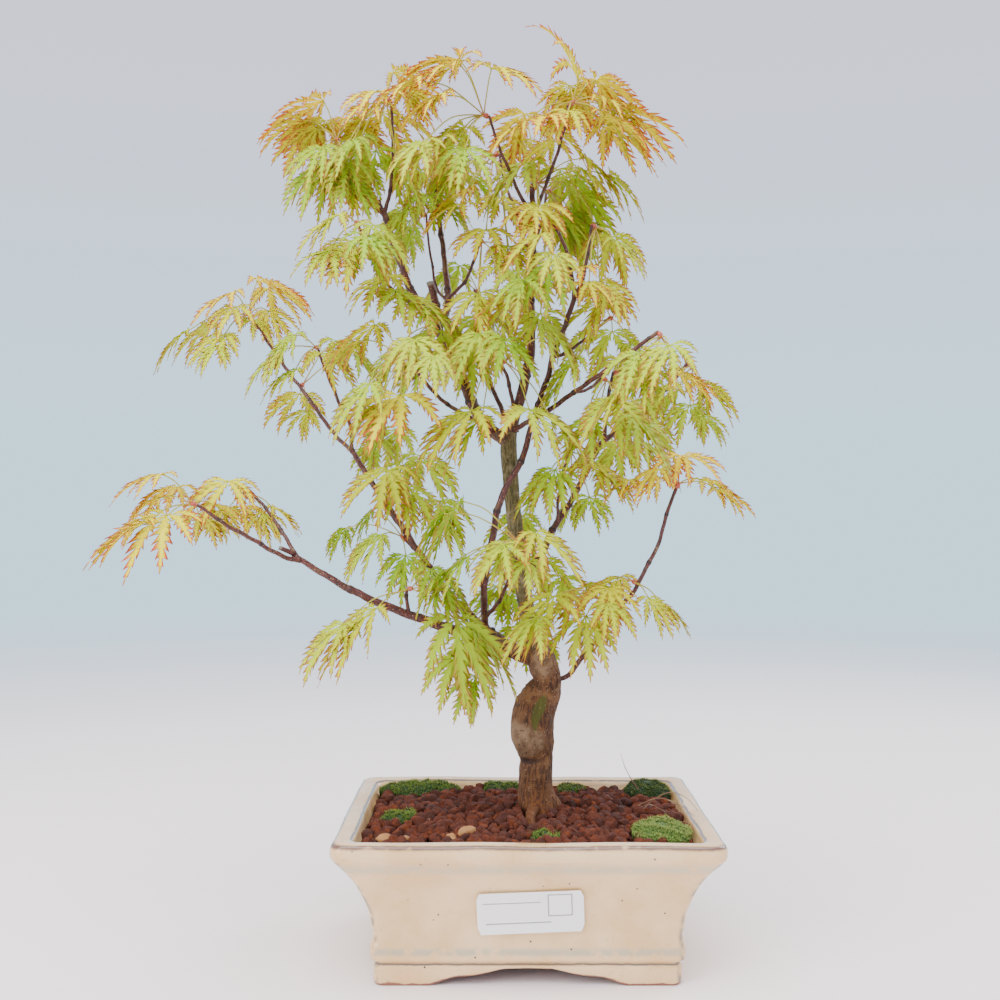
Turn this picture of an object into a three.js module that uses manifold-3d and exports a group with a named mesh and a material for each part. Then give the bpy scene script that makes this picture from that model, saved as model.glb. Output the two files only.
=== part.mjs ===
// A laceleaf Japanese maple grown as a bonsai, in a cream glazed rectangular pot.
// Millimetres, +Z up, the pot's long front face towards -Y, the low left branch towards -X.
import * as THREE from 'three';
import { mergeVertices } from 'three/addons/utils/BufferGeometryUtils.js';
import Module from 'manifold-3d';

const wasm = await Module();
wasm.setup();

// ---- Driving dimensions -------------------------------------------------------------------

const RIM_LENGTH = 191;
const RIM_WIDTH = 147;
const POT_HEIGHT = 74;
const PLAN_CORNER_RADIUS = 7;
const FLOOR_TOP = 15;
const UNDERSIDE_RECESS = 7;
const FOOT_THICKNESS = 13;
const FRONT_ARCH_HALF = 46;
const SIDE_ARCH_HALF = 27;
const DRAIN_RADIUS = 8;
const DRAIN_SPACING = 76;

const SOIL_DROP = 5;
const GRAIN_SPACING = 12;
const GRAIN_HEIGHT = 2.4;
const MOUND_HEIGHT = 2.5;

const TREE_HEIGHT = 415;
const CROWN_WIDTH = 330;
const TRUNK_GIRTH = 1;
const LEAF_SIZE = 1;
const LEAF_THICKNESS = 1.1;
const PETIOLE_RADIUS = 0.55;
const BUD_RADIUS = 1.4;
const SMALL_LEAF = 36;

const LABEL_LENGTH = 52;
const LABEL_HEIGHT = 22;
const LABEL_THICKNESS = 0.5;
const MESH_SIDE = 26;
const MESH_THICKNESS = 1.2;

// Clearance left between pieces that touch, so that no two solids share space.
const GAP = 0.3;

// How far the merged wood's skin may move while needless facets are taken out of it.
const WOOD_TOLERANCE = 0.04;

// The least height that a facet of a sound spray may have over its longest side.
const THINNEST_FACET = 0.002;

// The least distance from a bud to the hub of a leaf on it.
const SHORTEST_STALK = 15;

// Nominal sizes that the hand-placed points of the tree were laid out at.
const LAYOUT_HEIGHT = 415;
const LAYOUT_WIDTH = 330;

const SOIL_LEVEL = POT_HEIGHT - SOIL_DROP;
const HALF_LENGTH = RIM_LENGTH / 2;
const HALF_WIDTH = RIM_WIDTH / 2;

// ---- Pot profiles: how far the wall stands in from the rim bead, at a share of the height --

const OUTER_PROFILE = [
  [20.4, 0],
  [19.8, 0.016],
  [19.7, 0.057],
  [20.0, 0.142],
  [18.0, 0.205],
  [17.7, 0.272],
  [18.9, 0.335],
  [18.4, 0.378],
  [17.2, 0.478],
  [14.7, 0.578],
  [10.8, 0.699],
  [6.0, 0.796],
  [1.1, 0.885],
  [0, 0.936],
  [0.5, 0.984],
  [1.6, 1],
];

const INNER_PROFILE = [
  [26.5, 0.2],
  [25.5, 0.38],
  [21.5, 0.56],
  [15.0, 0.78],
  [11.4, 0.96],
  [10.2, 1.02],
];

// ---- The tree, laid out from the soil surface up --------------------------------------------

// Trunk: x, y, height and radius of each ring, from the buried foot to the crown fork.
const TRUNK_RINGS = [
  [9, 5, -22, 7],
  [9, 5, -8, 12],
  [8, 5, 2, 10.8],
  [6, 5, 12, 9.2],
  [6, 5, 26, 8.9],
  [5, 5, 38, 9.8],
  [4, 5, 46, 10.8],
  [5, 5, 55, 10.9],
  [9, 4, 65, 9.6],
  [11, 3, 73, 8.2],
  [9, 2, 82, 7.5],
  [6, 2, 91, 5.1],
  [2, 1, 104, 4.4],
  [0, 0, 115, 4.2],
  [-3, 0, 136, 4.1],
  [-6, 0, 158, 4.1],
  [-8, 0, 179, 4.1],
  [-9, 3, 196, 4.2],
  [-8, 4, 207, 3.6],
];

// Limbs: name, first and last radius, sides of the round, and the points of the centre line.
const LIMBS = [
  ['exposed front root', 3.2, 1.7, 6, [
    [6, -2, 6], [3, -9, 2], [2, -17, -1], [3, -25, -5], [4, -32, -10],
  ]],
  ['buried left root', 4.5, 1.4, 5, [
    [6, 5, -8], [-10, 8, -13], [-28, 12, -20],
  ]],
  ['buried right root', 4.5, 1.4, 5, [
    [10, 5, -8], [26, 2, -14], [44, -4, -22],
  ]],
  ['buried rear root', 4.2, 1.4, 5, [
    [9, 8, -8], [12, 22, -14], [8, 38, -22],
  ]],
  ['bark swelling', 5.5, 4.5, 6, [
    [0, 4, 40], [-1, 2, 46], [1, 2, 56],
  ]],
  ['lower left branch', 4.4, 1.4, 6, [
    [2, 3, 82], [-7, 0, 88], [-19, -4, 97], [-29, -11, 98], [-42, -14, 102], [-61, -16, 109],
    [-91, -19, 122], [-117, -20, 138],
  ]],
  ['lower left tip', 1.3, 0.8, 4, [
    [-117, -20, 138], [-124, -24, 139], [-135, -30, 146], [-150, -35, 155], [-155, -38, 159],
    [-165, -40, 166],
  ]],
  ['lower left upright', 1.1, 0.7, 4, [
    [-118, -20, 140], [-128, -14, 153], [-137, -8, 164], [-147, -2, 174],
  ]],
  ['lower left cut stub', 1.2, 1.1, 4, [
    [-121, -20, 140], [-127, -24, 144],
  ]],
  ['lower left spur', 1.0, 0.7, 4, [
    [-61, -16, 109], [-62, -19, 119], [-61, -19, 123],
  ]],
  ['second left branch', 2.2, 1.5, 5, [
    [-19, -4, 99], [-32, 2, 109], [-41, 11, 115], [-52, 19, 131], [-65, 27, 149],
    [-75, 32, 163], [-87, 38, 180], [-97, 40, 196],
  ]],
  ['second left tip', 1.2, 0.8, 4, [
    [-99, 40, 197], [-108, 46, 206], [-123, 51, 226], [-137, 57, 244], [-145, 59, 255],
    [-153, 62, 267], [-159, 62, 275],
  ]],
  ['second left upright', 1.1, 0.7, 4, [
    [-97, 40, 197], [-98, 35, 211], [-102, 32, 219], [-107, 30, 231], [-111, 27, 242],
    [-115, 27, 253],
  ]],
  ['second left spur', 0.9, 0.7, 4, [
    [-55, 20, 135], [-62, 24, 142], [-66, 27, 146],
  ]],
  ['crossing branch', 1.9, 1.3, 5, [
    [-20, -4, 100], [-22, -16, 114], [-21, -24, 130], [-18, -30, 146], [-15, -32, 163],
    [-10, -32, 176], [-3, -30, 188], [2, -24, 204], [6, -19, 218], [11, -16, 232],
    [14, -16, 243], [20, -19, 259], [25, -22, 273],
  ]],
  ['crossing left fork', 1.1, 0.8, 4, [
    [25, -22, 273], [24, -24, 279], [21, -30, 293], [17, -32, 302], [12, -35, 309],
  ]],
  ['crossing right fork', 1.1, 0.8, 4, [
    [26, -22, 273], [29, -19, 282], [32, -16, 296], [34, -14, 312],
  ]],
  ['crossing side twig', 1.0, 0.7, 4, [
    [14, -16, 243], [20, -14, 245], [31, -8, 253], [44, -2, 265],
  ]],
  ['thin rear shoot', 1.2, 0.7, 4, [
    [-19, -11, 106], [-14, -27, 117], [-8, -40, 132], [-3, -49, 148],
  ]],
  ['lowest right branch', 1.4, 0.9, 5, [
    [16, 5, 73], [22, 2, 74], [31, -2, 86], [40, -8, 98], [49, -11, 112], [57, -14, 122],
    [64, -14, 136], [69, -16, 146], [73, -16, 161], [78, -16, 174],
  ]],
  ['lowest right spur', 0.9, 0.7, 4, [
    [40, -8, 100], [40, -19, 111], [41, -24, 117],
  ]],
  ['right branch', 2.0, 1.1, 5, [
    [2, 0, 128], [8, 4, 138], [15, 14, 152], [25, 22, 167], [36, 30, 187], [44, 35, 201],
    [57, 40, 210], [71, 46, 221], [81, 49, 232], [90, 49, 242], [95, 49, 248],
  ]],
  ['right side twig', 0.9, 0.7, 4, [
    [16, 14, 158], [18, 11, 168], [20, 4, 182], [23, 0, 195],
  ]],
  ['right upright', 1.1, 0.8, 4, [
    [45, 35, 202], [46, 30, 216], [47, 24, 229], [49, 22, 239],
  ]],
  ['right cut stub', 1.3, 1.2, 4, [
    [50, 38, 205], [55, 43, 212], [60, 49, 220],
  ]],
  ['upper left branch', 3.2, 2.5, 6, [
    [-10, 4, 200], [-22, 8, 209], [-29, 11, 222], [-35, 14, 237], [-42, 16, 251],
    [-48, 19, 263],
  ]],
  ['upper left fork', 2.2, 1.7, 5, [
    [-48, 19, 263], [-55, 19, 272], [-63, 22, 285], [-68, 22, 298], [-73, 24, 312],
    [-77, 27, 325], [-82, 30, 335],
  ]],
  ['upper left shoot', 1.1, 0.7, 4, [
    [-79, 27, 328], [-84, 24, 331], [-93, 19, 345], [-100, 14, 358], [-102, 11, 363],
  ]],
  ['upper left top shoot', 1.1, 0.7, 4, [
    [-77, 27, 329], [-74, 22, 339], [-72, 14, 359], [-72, 4, 383],
  ]],
  ['upper left rear twig', 1.1, 0.7, 4, [
    [-55, 19, 272], [-65, 8, 277], [-75, -4, 285], [-81, -16, 297], [-87, -24, 311],
  ]],
  ['upper inner fork', 2.0, 1.2, 5, [
    [-48, 19, 263], [-43, 27, 274], [-43, 32, 286], [-45, 38, 304], [-47, 40, 319],
    [-49, 43, 332], [-51, 46, 347],
  ]],
  ['upper inner twig', 0.9, 0.6, 4, [
    [-43, 30, 280], [-49, 35, 287], [-52, 43, 301], [-55, 49, 318], [-56, 51, 333],
  ]],
  ['upper inner side shoot', 1.0, 0.7, 4, [
    [-42, 30, 280], [-33, 22, 289], [-28, 14, 298], [-24, 8, 309],
  ]],
  ['upper cut stub', 2.1, 2.0, 5, [
    [-46, 14, 265], [-48, 8, 274], [-51, 2, 285],
  ]],
  ['rear left twig', 1.3, 0.8, 4, [
    [-14, 4, 205], [-29, -8, 212], [-41, -19, 218], [-52, -30, 229], [-60, -38, 240],
  ]],
  ['front upright', 1.4, 0.8, 5, [
    [-9, 4, 209], [-16, 19, 226], [-22, 27, 242], [-25, 32, 255], [-27, 38, 276],
    [-28, 43, 288],
  ]],
  ['leader', 3.0, 1.4, 6, [
    [-7, 4, 206], [-3, 0, 222], [0, -2, 235], [3, -2, 251], [3, 0, 275], [4, 2, 300],
    [4, 4, 321], [4, 8, 339],
  ]],
  ['leader left shoot', 1.1, 0.7, 4, [
    [3, 4, 323], [-3, 0, 331], [-8, -8, 341], [-14, -14, 352], [-19, -19, 367],
  ]],
  ['leader right shoot', 1.1, 0.7, 4, [
    [4, 4, 323], [8, 2, 329], [12, -2, 340], [17, -8, 352], [21, -14, 367], [22, -16, 374],
  ]],
  ['leader front shoot', 1.0, 0.7, 4, [
    [3, 2, 300], [-1, 11, 310], [-4, 19, 325], [-11, 27, 345], [-14, 32, 362],
  ]],
  ['leader side shoot', 0.9, 0.7, 4, [
    [5, 2, 302], [9, 14, 320], [12, 22, 339],
  ]],
  ['long right twig', 1.4, 0.9, 5, [
    [-6, 4, 205], [10, -19, 214], [24, -32, 223], [42, -46, 235], [59, -57, 247],
    [63, -59, 250],
  ]],
  ['long right spur', 0.8, 0.7, 4, [
    [25, -30, 222], [33, -24, 226], [39, -19, 232],
  ]],
  ['short rear shoot', 1.1, 0.7, 4, [
    [-6, 2, 214], [-9, -11, 229], [-13, -19, 240], [-14, -24, 244],
  ]],
];

// Sprays: the bud point on the wood, then each leaf's x, y and height, its lobe length and its
// age (0 young, 1 full grown). The topmost leaf also has its own dip and heading, in degrees.
const SPRAYS = [
  [[-102, 11, 363], [
    [-109, 8, 384, 46, 0.1], [-98, 19, 378, 34, 0.2], [-105, 2, 359, 36, 0.7],
    [-99, 0, 347, 40, 0.8], [-98, 22, 354, 38, 0.5],
  ]],
  [[-72, 4, 383], [
    [-71, 4, 398, 36, 0.1], [-75, -8, 382, 32, 0.2], [-78, 16, 381, 34, 0.3],
    [-87, -11, 357, 36, 0.8], [-81, 11, 358, 38, 0.7],
  ]],
  [[-19, -19, 367], [
    [-34, -22, 395, 46, 0.1], [-54, -32, 381, 36, 0.2], [-30, -11, 365, 40, 0.5],
    [-44, -40, 348, 40, 0.6],
  ]],
  [[22, -16, 374], [
    [27, -16, 389, 40, 0.1, -54, 176], [38, -4, 391, 34, 0.1], [36, -24, 374, 36, 0.3],
    [45, -14, 371, 50, 0.1], [11, -30, 363, 34, 0.2],
  ]],
  [[4, 8, 336], [
    [0, 14, 379, 36, 0.2], [2, -4, 346, 38, 0.7], [31, 0, 351, 38, 0.5],
    [31, 19, 337, 40, 0.8], [7, -19, 321, 36, 0.3],
  ]],
  [[-14, 32, 362], [
    [-28, 35, 360, 38, 0.6], [-30, 24, 340, 40, 0.3], [-21, 11, 315, 34, 0.4],
  ]],
  [[12, 22, 339], [
    [20, 35, 354, 34, 0.6], [27, 32, 328, 36, 0.8],
  ]],
  [[-51, 46, 347], [
    [-53, 35, 340, 36, 0.7], [-62, 52, 374, 36, 0.5], [-44, 64, 367, 36, 0.6],
  ]],
  [[-56, 51, 333], [
    [-66, 59, 338, 34, 0.8], [-66, 65, 324, 34, 0.8],
  ]],
  [[-87, -24, 311], [
    [-87, -35, 299, 42, 0.5], [-94, -40, 311, 34, 0.6], [-76, -43, 305, 34, 0.7],
  ]],
  [[-65, 8, 277], [
    [-72, -14, 285, 36, 0.5], [-59, -19, 273, 38, 0.6],
  ]],
  [[-24, 8, 309], [
    [-25, -14, 276, 38, 0.5], [-15, -22, 287, 34, 0.6],
  ]],
  [[-46, 14, 265], [
    [-44, -11, 257, 42, 0.9], [-59, 2, 254, 34, 0.8],
  ]],
  [[-28, 43, 288], [
    [-25, 19, 259, 36, 0.8], [-15, 51, 284, 36, 0.6], [-37, 59, 305, 34, 0.7],
  ]],
  [[12, -35, 309], [
    [-3, -30, 275, 36, 0.5], [11, -46, 285, 36, 0.8], [6, -49, 299, 32, 0.5],
  ]],
  [[34, -14, 312], [
    [29, -24, 288, 26, 0.2], [39, -8, 283, 34, 0.4], [45, -2, 309, 34, 0.5],
  ]],
  [[44, -2, 265], [
    [39, -14, 270, 34, 0.5], [47, 8, 260, 34, 0.6], [25, -27, 240, 38, 0.8],
  ]],
  [[-60, -38, 240], [
    [-63, -46, 220, 46, 0.3], [-76, -40, 256, 32, 0.4], [-77, -54, 225, 36, 0.8],
    [-55, -59, 246, 34, 0.7],
  ]],
  [[-14, -24, 244], [
    [-24, -35, 252, 38, 0.8], [-28, -40, 213, 46, 0.5],
  ]],
  [[-13, -19, 240], [
    [1, -46, 213, 42, 0.6], [7, -35, 259, 38, 0.8],
  ]],
  [[63, -59, 250], [
    [58, -68, 228, 36, 0.6], [72, -54, 231, 26, 0.2], [66, -76, 241, 34, 0.6],
  ]],
  [[39, -19, 232], [
    [44, -35, 219, 40, 0.6], [32, -30, 209, 34, 0.7],
  ]],
  [[95, 49, 248], [
    [82, 38, 233, 36, 0.6], [103, 57, 238, 34, 0.5], [98, 65, 224, 34, 0.6],
  ]],
  [[49, 22, 239], [
    [63, 19, 201, 38, 0.6], [54, 38, 248, 34, 0.7],
  ]],
  [[60, 49, 220], [
    [53, 59, 203, 36, 0.5], [72, 65, 213, 34, 0.6],
  ]],
  [[78, -16, 174], [
    [80, -19, 188, 34, 0.1], [67, -32, 184, 28, 0.2], [91, -11, 179, 28, 0.2],
  ]],
  [[-159, 62, 275], [
    [-155, 59, 296, 42, 0.1], [-151, 73, 294, 36, 0.2], [-163, 51, 278, 30, 0.4],
    [-179, 54, 271, 38, 0.5], [-170, 40, 262, 34, 0.5],
  ]],
  [[-129, 54, 234], [
    [-108, 50, 260, 34, 0.6], [-132, 70, 231, 36, 0.4],
  ]],
  [[-115, 27, 253], [
    [-111, 14, 249, 36, 0.5], [-125, 11, 258, 34, 0.7],
  ]],
  [[-165, -40, 166], [
    [-180, -46, 181, 32, 0.1], [-176, -32, 174, 32, 0.2], [-177, -49, 161, 48, 0.1],
    [-168, -27, 162, 26, 0.4],
  ]],
  [[-147, -2, 174], [
    [-153, -8, 176, 38, 0.3], [-151, 8, 167, 26, 0.3], [-138, 2, 166, 24, 0.4],
  ]],
  [[-66, 27, 146], [
    [-77, 19, 149, 36, 0.8], [-74, 14, 185, 44, 0.5], [-86, 40, 162, 26, 0.9],
  ]],
  [[-61, -19, 123], [
    [-77, -30, 113, 50, 0.5], [-36, -35, 108, 52, 0.9], [-52, -24, 130, 38, 0.8],
  ]],
  [[-3, -49, 148], [
    [1, -59, 151, 38, 0.5], [-32, -54, 168, 40, 0.9], [-30, -49, 140, 36, 0.9],
    [-11, -65, 145, 26, 0.8],
  ]],
  [[23, 0, 195], [
    [33, -14, 187, 34, 0.4], [35, 11, 170, 26, 0.9], [15, -19, 184, 34, 0.7],
  ]],
  [[41, -24, 117], [
    [24, -35, 118, 42, 0.5], [41, -40, 124, 32, 0.4], [13, -49, 121, 40, 0.5],
  ]],
  [[60, -11, 124], [
    [61, -24, 120, 26, 0.5], [49, -2, 127, 30, 0.4],
  ]],
  [[-65, 27, 149], [
    [-59, 46, 194, 42, 0.8], [-48, 49, 168, 36, 0.9], [-74, 62, 210, 36, 0.7],
  ]],
  [[-1, 0, 126], [
    [-2, 27, 160, 36, 0.9], [9, 32, 135, 36, 0.6], [-3, 24, 97, 34, 0.8],
    [-15, 20, 121, 34, 0.9],
  ]],
  [[-24, -8, 98], [
    [-31, 22, 92, 36, 0.9], [-36, -30, 88, 34, 0.7],
  ]],
];

// ---- Small helpers ----------------------------------------------------------------------------

// A repeatable number from 0 to 1 for any seed.
function scatter(seed) {
  const wave = Math.sin(seed * 12.9898 + 4.1414) * 43758.5453;
  return wave - Math.floor(wave);
}

function surface(color, roughness) {
  return new THREE.MeshStandardMaterial({ color, roughness, metalness: 0 });
}

function toSolid(geometry) {
  const bare = geometry.clone();
  bare.deleteAttribute('normal');
  bare.deleteAttribute('uv');
  const merged = mergeVertices(bare, 1e-4);
  const vertProperties = new Float32Array(merged.attributes.position.array);
  const triVerts = new Uint32Array(merged.index.array);
  return new wasm.Manifold(new wasm.Mesh({ numProp: 3, vertProperties, triVerts }));
}

function toGeometry(solid) {
  const mesh = solid.getMesh();
  const geometry = new THREE.BufferGeometry();
  geometry.setAttribute('position', new THREE.BufferAttribute(mesh.vertProperties, 3));
  geometry.setIndex(new THREE.BufferAttribute(mesh.triVerts, 1));
  const faceted = geometry.toNonIndexed();
  faceted.computeVertexNormals();
  return faceted;
}

// Of a solid that a cut has left in several bodies, the one that encloses the most.
function largestBody(solid) {
  const bodies = solid.decompose();
  let best = bodies[0];
  for (const body of bodies) {
    if (body.volume() > best.volume()) {
      best = body;
    }
  }
  return best;
}

// A closed skin over rings of equal length, each ring running anticlockwise seen from the end.
function loft(rings) {
  const count = rings[0].length;
  const positions = [];
  const index = [];
  for (const ring of rings) {
    for (const point of ring) {
      positions.push(point.x, point.y, point.z);
    }
  }
  for (let level = 0; level < rings.length - 1; level += 1) {
    for (let i = 0; i < count; i += 1) {
      const a = level * count + i;
      const b = level * count + (i + 1) % count;
      index.push(a, b, b + count, a, b + count, a + count);
    }
  }
  const top = (rings.length - 1) * count;
  for (let i = 1; i < count - 1; i += 1) {
    index.push(0, i + 1, i);
    index.push(top, top + i, top + i + 1);
  }
  const geometry = new THREE.BufferGeometry();
  geometry.setAttribute('position', new THREE.Float32BufferAttribute(positions, 3));
  geometry.setIndex(index);
  return geometry;
}

// A rounded rectangle at one height, centred on the pot.
function roundedLoop(halfX, halfY, radius, z, steps = 4) {
  const loop = [];
  const corners = [[1, 1, 0], [-1, 1, 90], [-1, -1, 180], [1, -1, 270]];
  for (const [sideX, sideY, start] of corners) {
    for (let i = 0; i <= steps; i += 1) {
      const angle = THREE.MathUtils.degToRad(start + 90 * i / steps);
      const x = sideX * (halfX - radius) + radius * Math.cos(angle);
      const y = sideY * (halfY - radius) + radius * Math.sin(angle);
      loop.push(new THREE.Vector3(x, y, z));
    }
  }
  return loop;
}

// How far the outer wall stands in from the rim bead at a height, from the outer profile.
function wallInset(z) {
  const share = z / POT_HEIGHT;
  for (let i = 1; i < OUTER_PROFILE.length; i += 1) {
    const [insetA, shareA] = OUTER_PROFILE[i - 1];
    const [insetB, shareB] = OUTER_PROFILE[i];
    if (share <= shareB) {
      return insetA + (insetB - insetA) * (share - shareA) / (shareB - shareA);
    }
  }
  return 0;
}

// ---- Pot ------------------------------------------------------------------------------------

function outerWall() {
  const rings = OUTER_PROFILE.map(([inset, share]) => {
    const radius = PLAN_CORNER_RADIUS - 0.12 * inset;
    return roundedLoop(HALF_LENGTH - inset, HALF_WIDTH - inset, radius, share * POT_HEIGHT);
  });
  return toSolid(loft(rings));
}

// The hollow of the pot, drawn in by a clearance where something has to fit inside it.
function innerHollow(clearance) {
  const rings = INNER_PROFILE.map(([inset, share], i) => {
    const z = i === 0 ? FLOOR_TOP + clearance : share * POT_HEIGHT;
    const off = inset + clearance;
    return roundedLoop(HALF_LENGTH - off, HALF_WIDTH - off, 9, z);
  });
  return toSolid(loft(rings));
}

// An arch cut clean through the foot, stepped up twice towards its middle like a cloud.
function footArch(half, length, turned) {
  const shape = new THREE.Shape();
  shape.moveTo(-half, -1);
  shape.lineTo(-half, 0.6);
  shape.lineTo(-half * 0.86, 4);
  shape.lineTo(-half * 0.5, 5.2);
  shape.lineTo(-half * 0.3, 9);
  shape.lineTo(half * 0.3, 9);
  shape.lineTo(half * 0.5, 5.2);
  shape.lineTo(half * 0.86, 4);
  shape.lineTo(half, 0.6);
  shape.lineTo(half, -1);
  const arch = new THREE.ExtrudeGeometry(shape, { depth: length, bevelEnabled: false });
  arch.rotateX(Math.PI / 2);
  arch.translate(0, length / 2, 0);
  if (turned) {
    arch.rotateZ(Math.PI / 2);
  }
  return toSolid(arch);
}

function underRecess() {
  const inset = wallInset(0) + FOOT_THICKNESS;
  const low = roundedLoop(HALF_LENGTH - inset, HALF_WIDTH - inset, 6, -1, 2);
  const high = roundedLoop(HALF_LENGTH - inset, HALF_WIDTH - inset, 6, UNDERSIDE_RECESS, 2);
  return toSolid(loft([low, high]));
}

function drainHole(x) {
  const hole = new THREE.CylinderGeometry(DRAIN_RADIUS, DRAIN_RADIUS, 40, 16);
  hole.rotateX(Math.PI / 2);
  hole.translate(x, 0, 0);
  return toSolid(hole);
}

function makePot() {
  const solid = outerWall()
    .subtract(innerHollow(0))
    .subtract(footArch(FRONT_ARCH_HALF, RIM_WIDTH + 20, false))
    .subtract(footArch(SIDE_ARCH_HALF, RIM_LENGTH + 20, true))
    .subtract(underRecess())
    .subtract(drainHole(-DRAIN_SPACING / 2))
    .subtract(drainHole(DRAIN_SPACING / 2));
  return new THREE.Mesh(toGeometry(solid), surface(0xe6d3b8, 0.28));
}

// A blank sticker that follows the hollow of the front wall, a little tilted.
function makeLabel() {
  const rows = 7;
  const tilt = THREE.MathUtils.degToRad(2.5);
  const centreZ = 0.508 * POT_HEIGHT;
  const rings = [];
  for (let i = 0; i < rows; i += 1) {
    const v = (i / (rows - 1) - 0.5) * LABEL_HEIGHT;
    const corner = i === 0 || i === rows - 1 ? 1.5 : 0;
    const half = LABEL_LENGTH / 2 - corner;
    const ring = [];
    for (const [u, depth] of [[-half, 0], [half, 0], [half, 1], [-half, 1]]) {
      const x = 1.2 + u * Math.cos(tilt) - v * Math.sin(tilt);
      const z = centreZ + u * Math.sin(tilt) + v * Math.cos(tilt);
      const wall = -(HALF_WIDTH - wallInset(z));
      const y = wall - GAP - 0.15 - (1 - depth) * LABEL_THICKNESS;
      ring.push(new THREE.Vector3(x, y, z));
    }
    rings.push(ring);
  }
  return new THREE.Mesh(loft(rings), surface(0xf2f1ec, 0.45));
}

// A square of plastic mesh over one drain hole, under the soil.
function meshPlate(x, spread) {
  const half = MESH_SIDE / 2 + spread;
  const low = FLOOR_TOP + GAP - spread;
  const high = FLOOR_TOP + GAP + MESH_THICKNESS + spread;
  const plate = new THREE.BoxGeometry(2 * half, 2 * half, high - low);
  plate.translate(x, 0, (low + high) / 2);
  return toSolid(plate);
}

function makeDrainMesh(x) {
  let solid = meshPlate(x, 0);
  const pitch = MESH_SIDE / 5;
  for (let column = -1; column <= 1; column += 1) {
    for (let row = -1; row <= 1; row += 1) {
      const slot = new THREE.BoxGeometry(pitch * 0.6, pitch * 0.6, 20);
      slot.translate(x + column * pitch, row * pitch, FLOOR_TOP);
      solid = solid.subtract(toSolid(slot));
    }
  }
  return new THREE.Mesh(toGeometry(solid), surface(0x22262a, 0.6));
}

// ---- Soil, moss and stones ----------------------------------------------------------------------

// Height of the grainy soil surface: a low mound, lumpy with clay grains.
function soilHeight(x, y) {
  const across = x / HALF_LENGTH;
  const along = y / HALF_WIDTH;
  const mound = MOUND_HEIGHT * (1 - 2 * (across * across + along * along));
  const seed = Math.round(x * 7.3) * 0.37 + Math.round(y * 5.9) * 1.91;
  return SOIL_LEVEL + mound + GRAIN_HEIGHT * (scatter(seed) - 0.5);
}

// Everything from a floor height up to the soil surface, over more than the pot's opening.
function soilBlock(lift, floor) {
  const columns = Math.ceil(RIM_LENGTH / GRAIN_SPACING);
  const rows = Math.ceil(RIM_WIDTH / GRAIN_SPACING);
  const left = -columns * GRAIN_SPACING / 2;
  const front = -rows * GRAIN_SPACING / 2;
  const positions = [];
  const index = [];
  for (let row = 0; row <= rows; row += 1) {
    for (let column = 0; column <= columns; column += 1) {
      const x = left + column * GRAIN_SPACING;
      const y = front + row * GRAIN_SPACING;
      positions.push(x, y, soilHeight(x, y) + lift);
    }
  }
  const wide = columns + 1;
  const rim = [];
  for (let row = 0; row < rows; row += 1) {
    for (let column = 0; column < columns; column += 1) {
      const a = row * wide + column;
      index.push(a, a + 1, a + wide + 1, a, a + wide + 1, a + wide);
    }
  }
  for (let column = 0; column < columns; column += 1) {
    rim.push(column);
  }
  for (let row = 0; row < rows; row += 1) {
    rim.push(row * wide + columns);
  }
  for (let column = columns; column > 0; column -= 1) {
    rim.push(rows * wide + column);
  }
  for (let row = rows; row > 0; row -= 1) {
    rim.push(row * wide);
  }
  const below = positions.length / 3;
  for (const corner of rim) {
    positions.push(positions[corner * 3], positions[corner * 3 + 1], floor);
  }
  const middle = positions.length / 3;
  positions.push(0, 0, floor);
  for (let i = 0; i < rim.length; i += 1) {
    const next = (i + 1) % rim.length;
    index.push(rim[i], below + i, below + next, rim[i], below + next, rim[next]);
    index.push(below + i, middle, below + next);
  }
  const geometry = new THREE.BufferGeometry();
  geometry.setAttribute('position', new THREE.Float32BufferAttribute(positions, 3));
  geometry.setIndex(index);
  return toSolid(geometry);
}

function makeSoil(treeCutter, stoneCutters) {
  let solid = soilBlock(0, 0).intersect(innerHollow(GAP));
  solid = solid.subtract(treeCutter);
  solid = solid.subtract(meshPlate(-DRAIN_SPACING / 2, GAP));
  solid = solid.subtract(meshPlate(DRAIN_SPACING / 2, GAP));
  for (const cutter of stoneCutters) {
    solid = solid.subtract(cutter);
  }
  return new THREE.Mesh(toGeometry(largestBody(solid)), surface(0x67382a, 0.95));
}

// Moss cushions: name, centre x and y, half spans along x and y, height, colour.
const MOSS_PATCHES = [
  ['moss_back_left', -59, 50, 22, 9, 5.5, 0x4f7a2a],
  ['moss_back_centre', -12, 53, 13, 7, 4.5, 0x557f2e],
  ['moss_behind_trunk', 27, 50, 9, 8, 4, 0x4f7a2a],
  ['moss_back_right', 70, 46, 13, 14, 7, 0x2c4a1e],
  ['moss_front_right', 68, -34, 15, 18, 4.5, 0xa3bd88],
  ['moss_left', -66, -8, 10, 9, 3.5, 0x6f9440],
  ['moss_front', 8, -46, 9, 6, 3, 0x5d8434],
];

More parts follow.
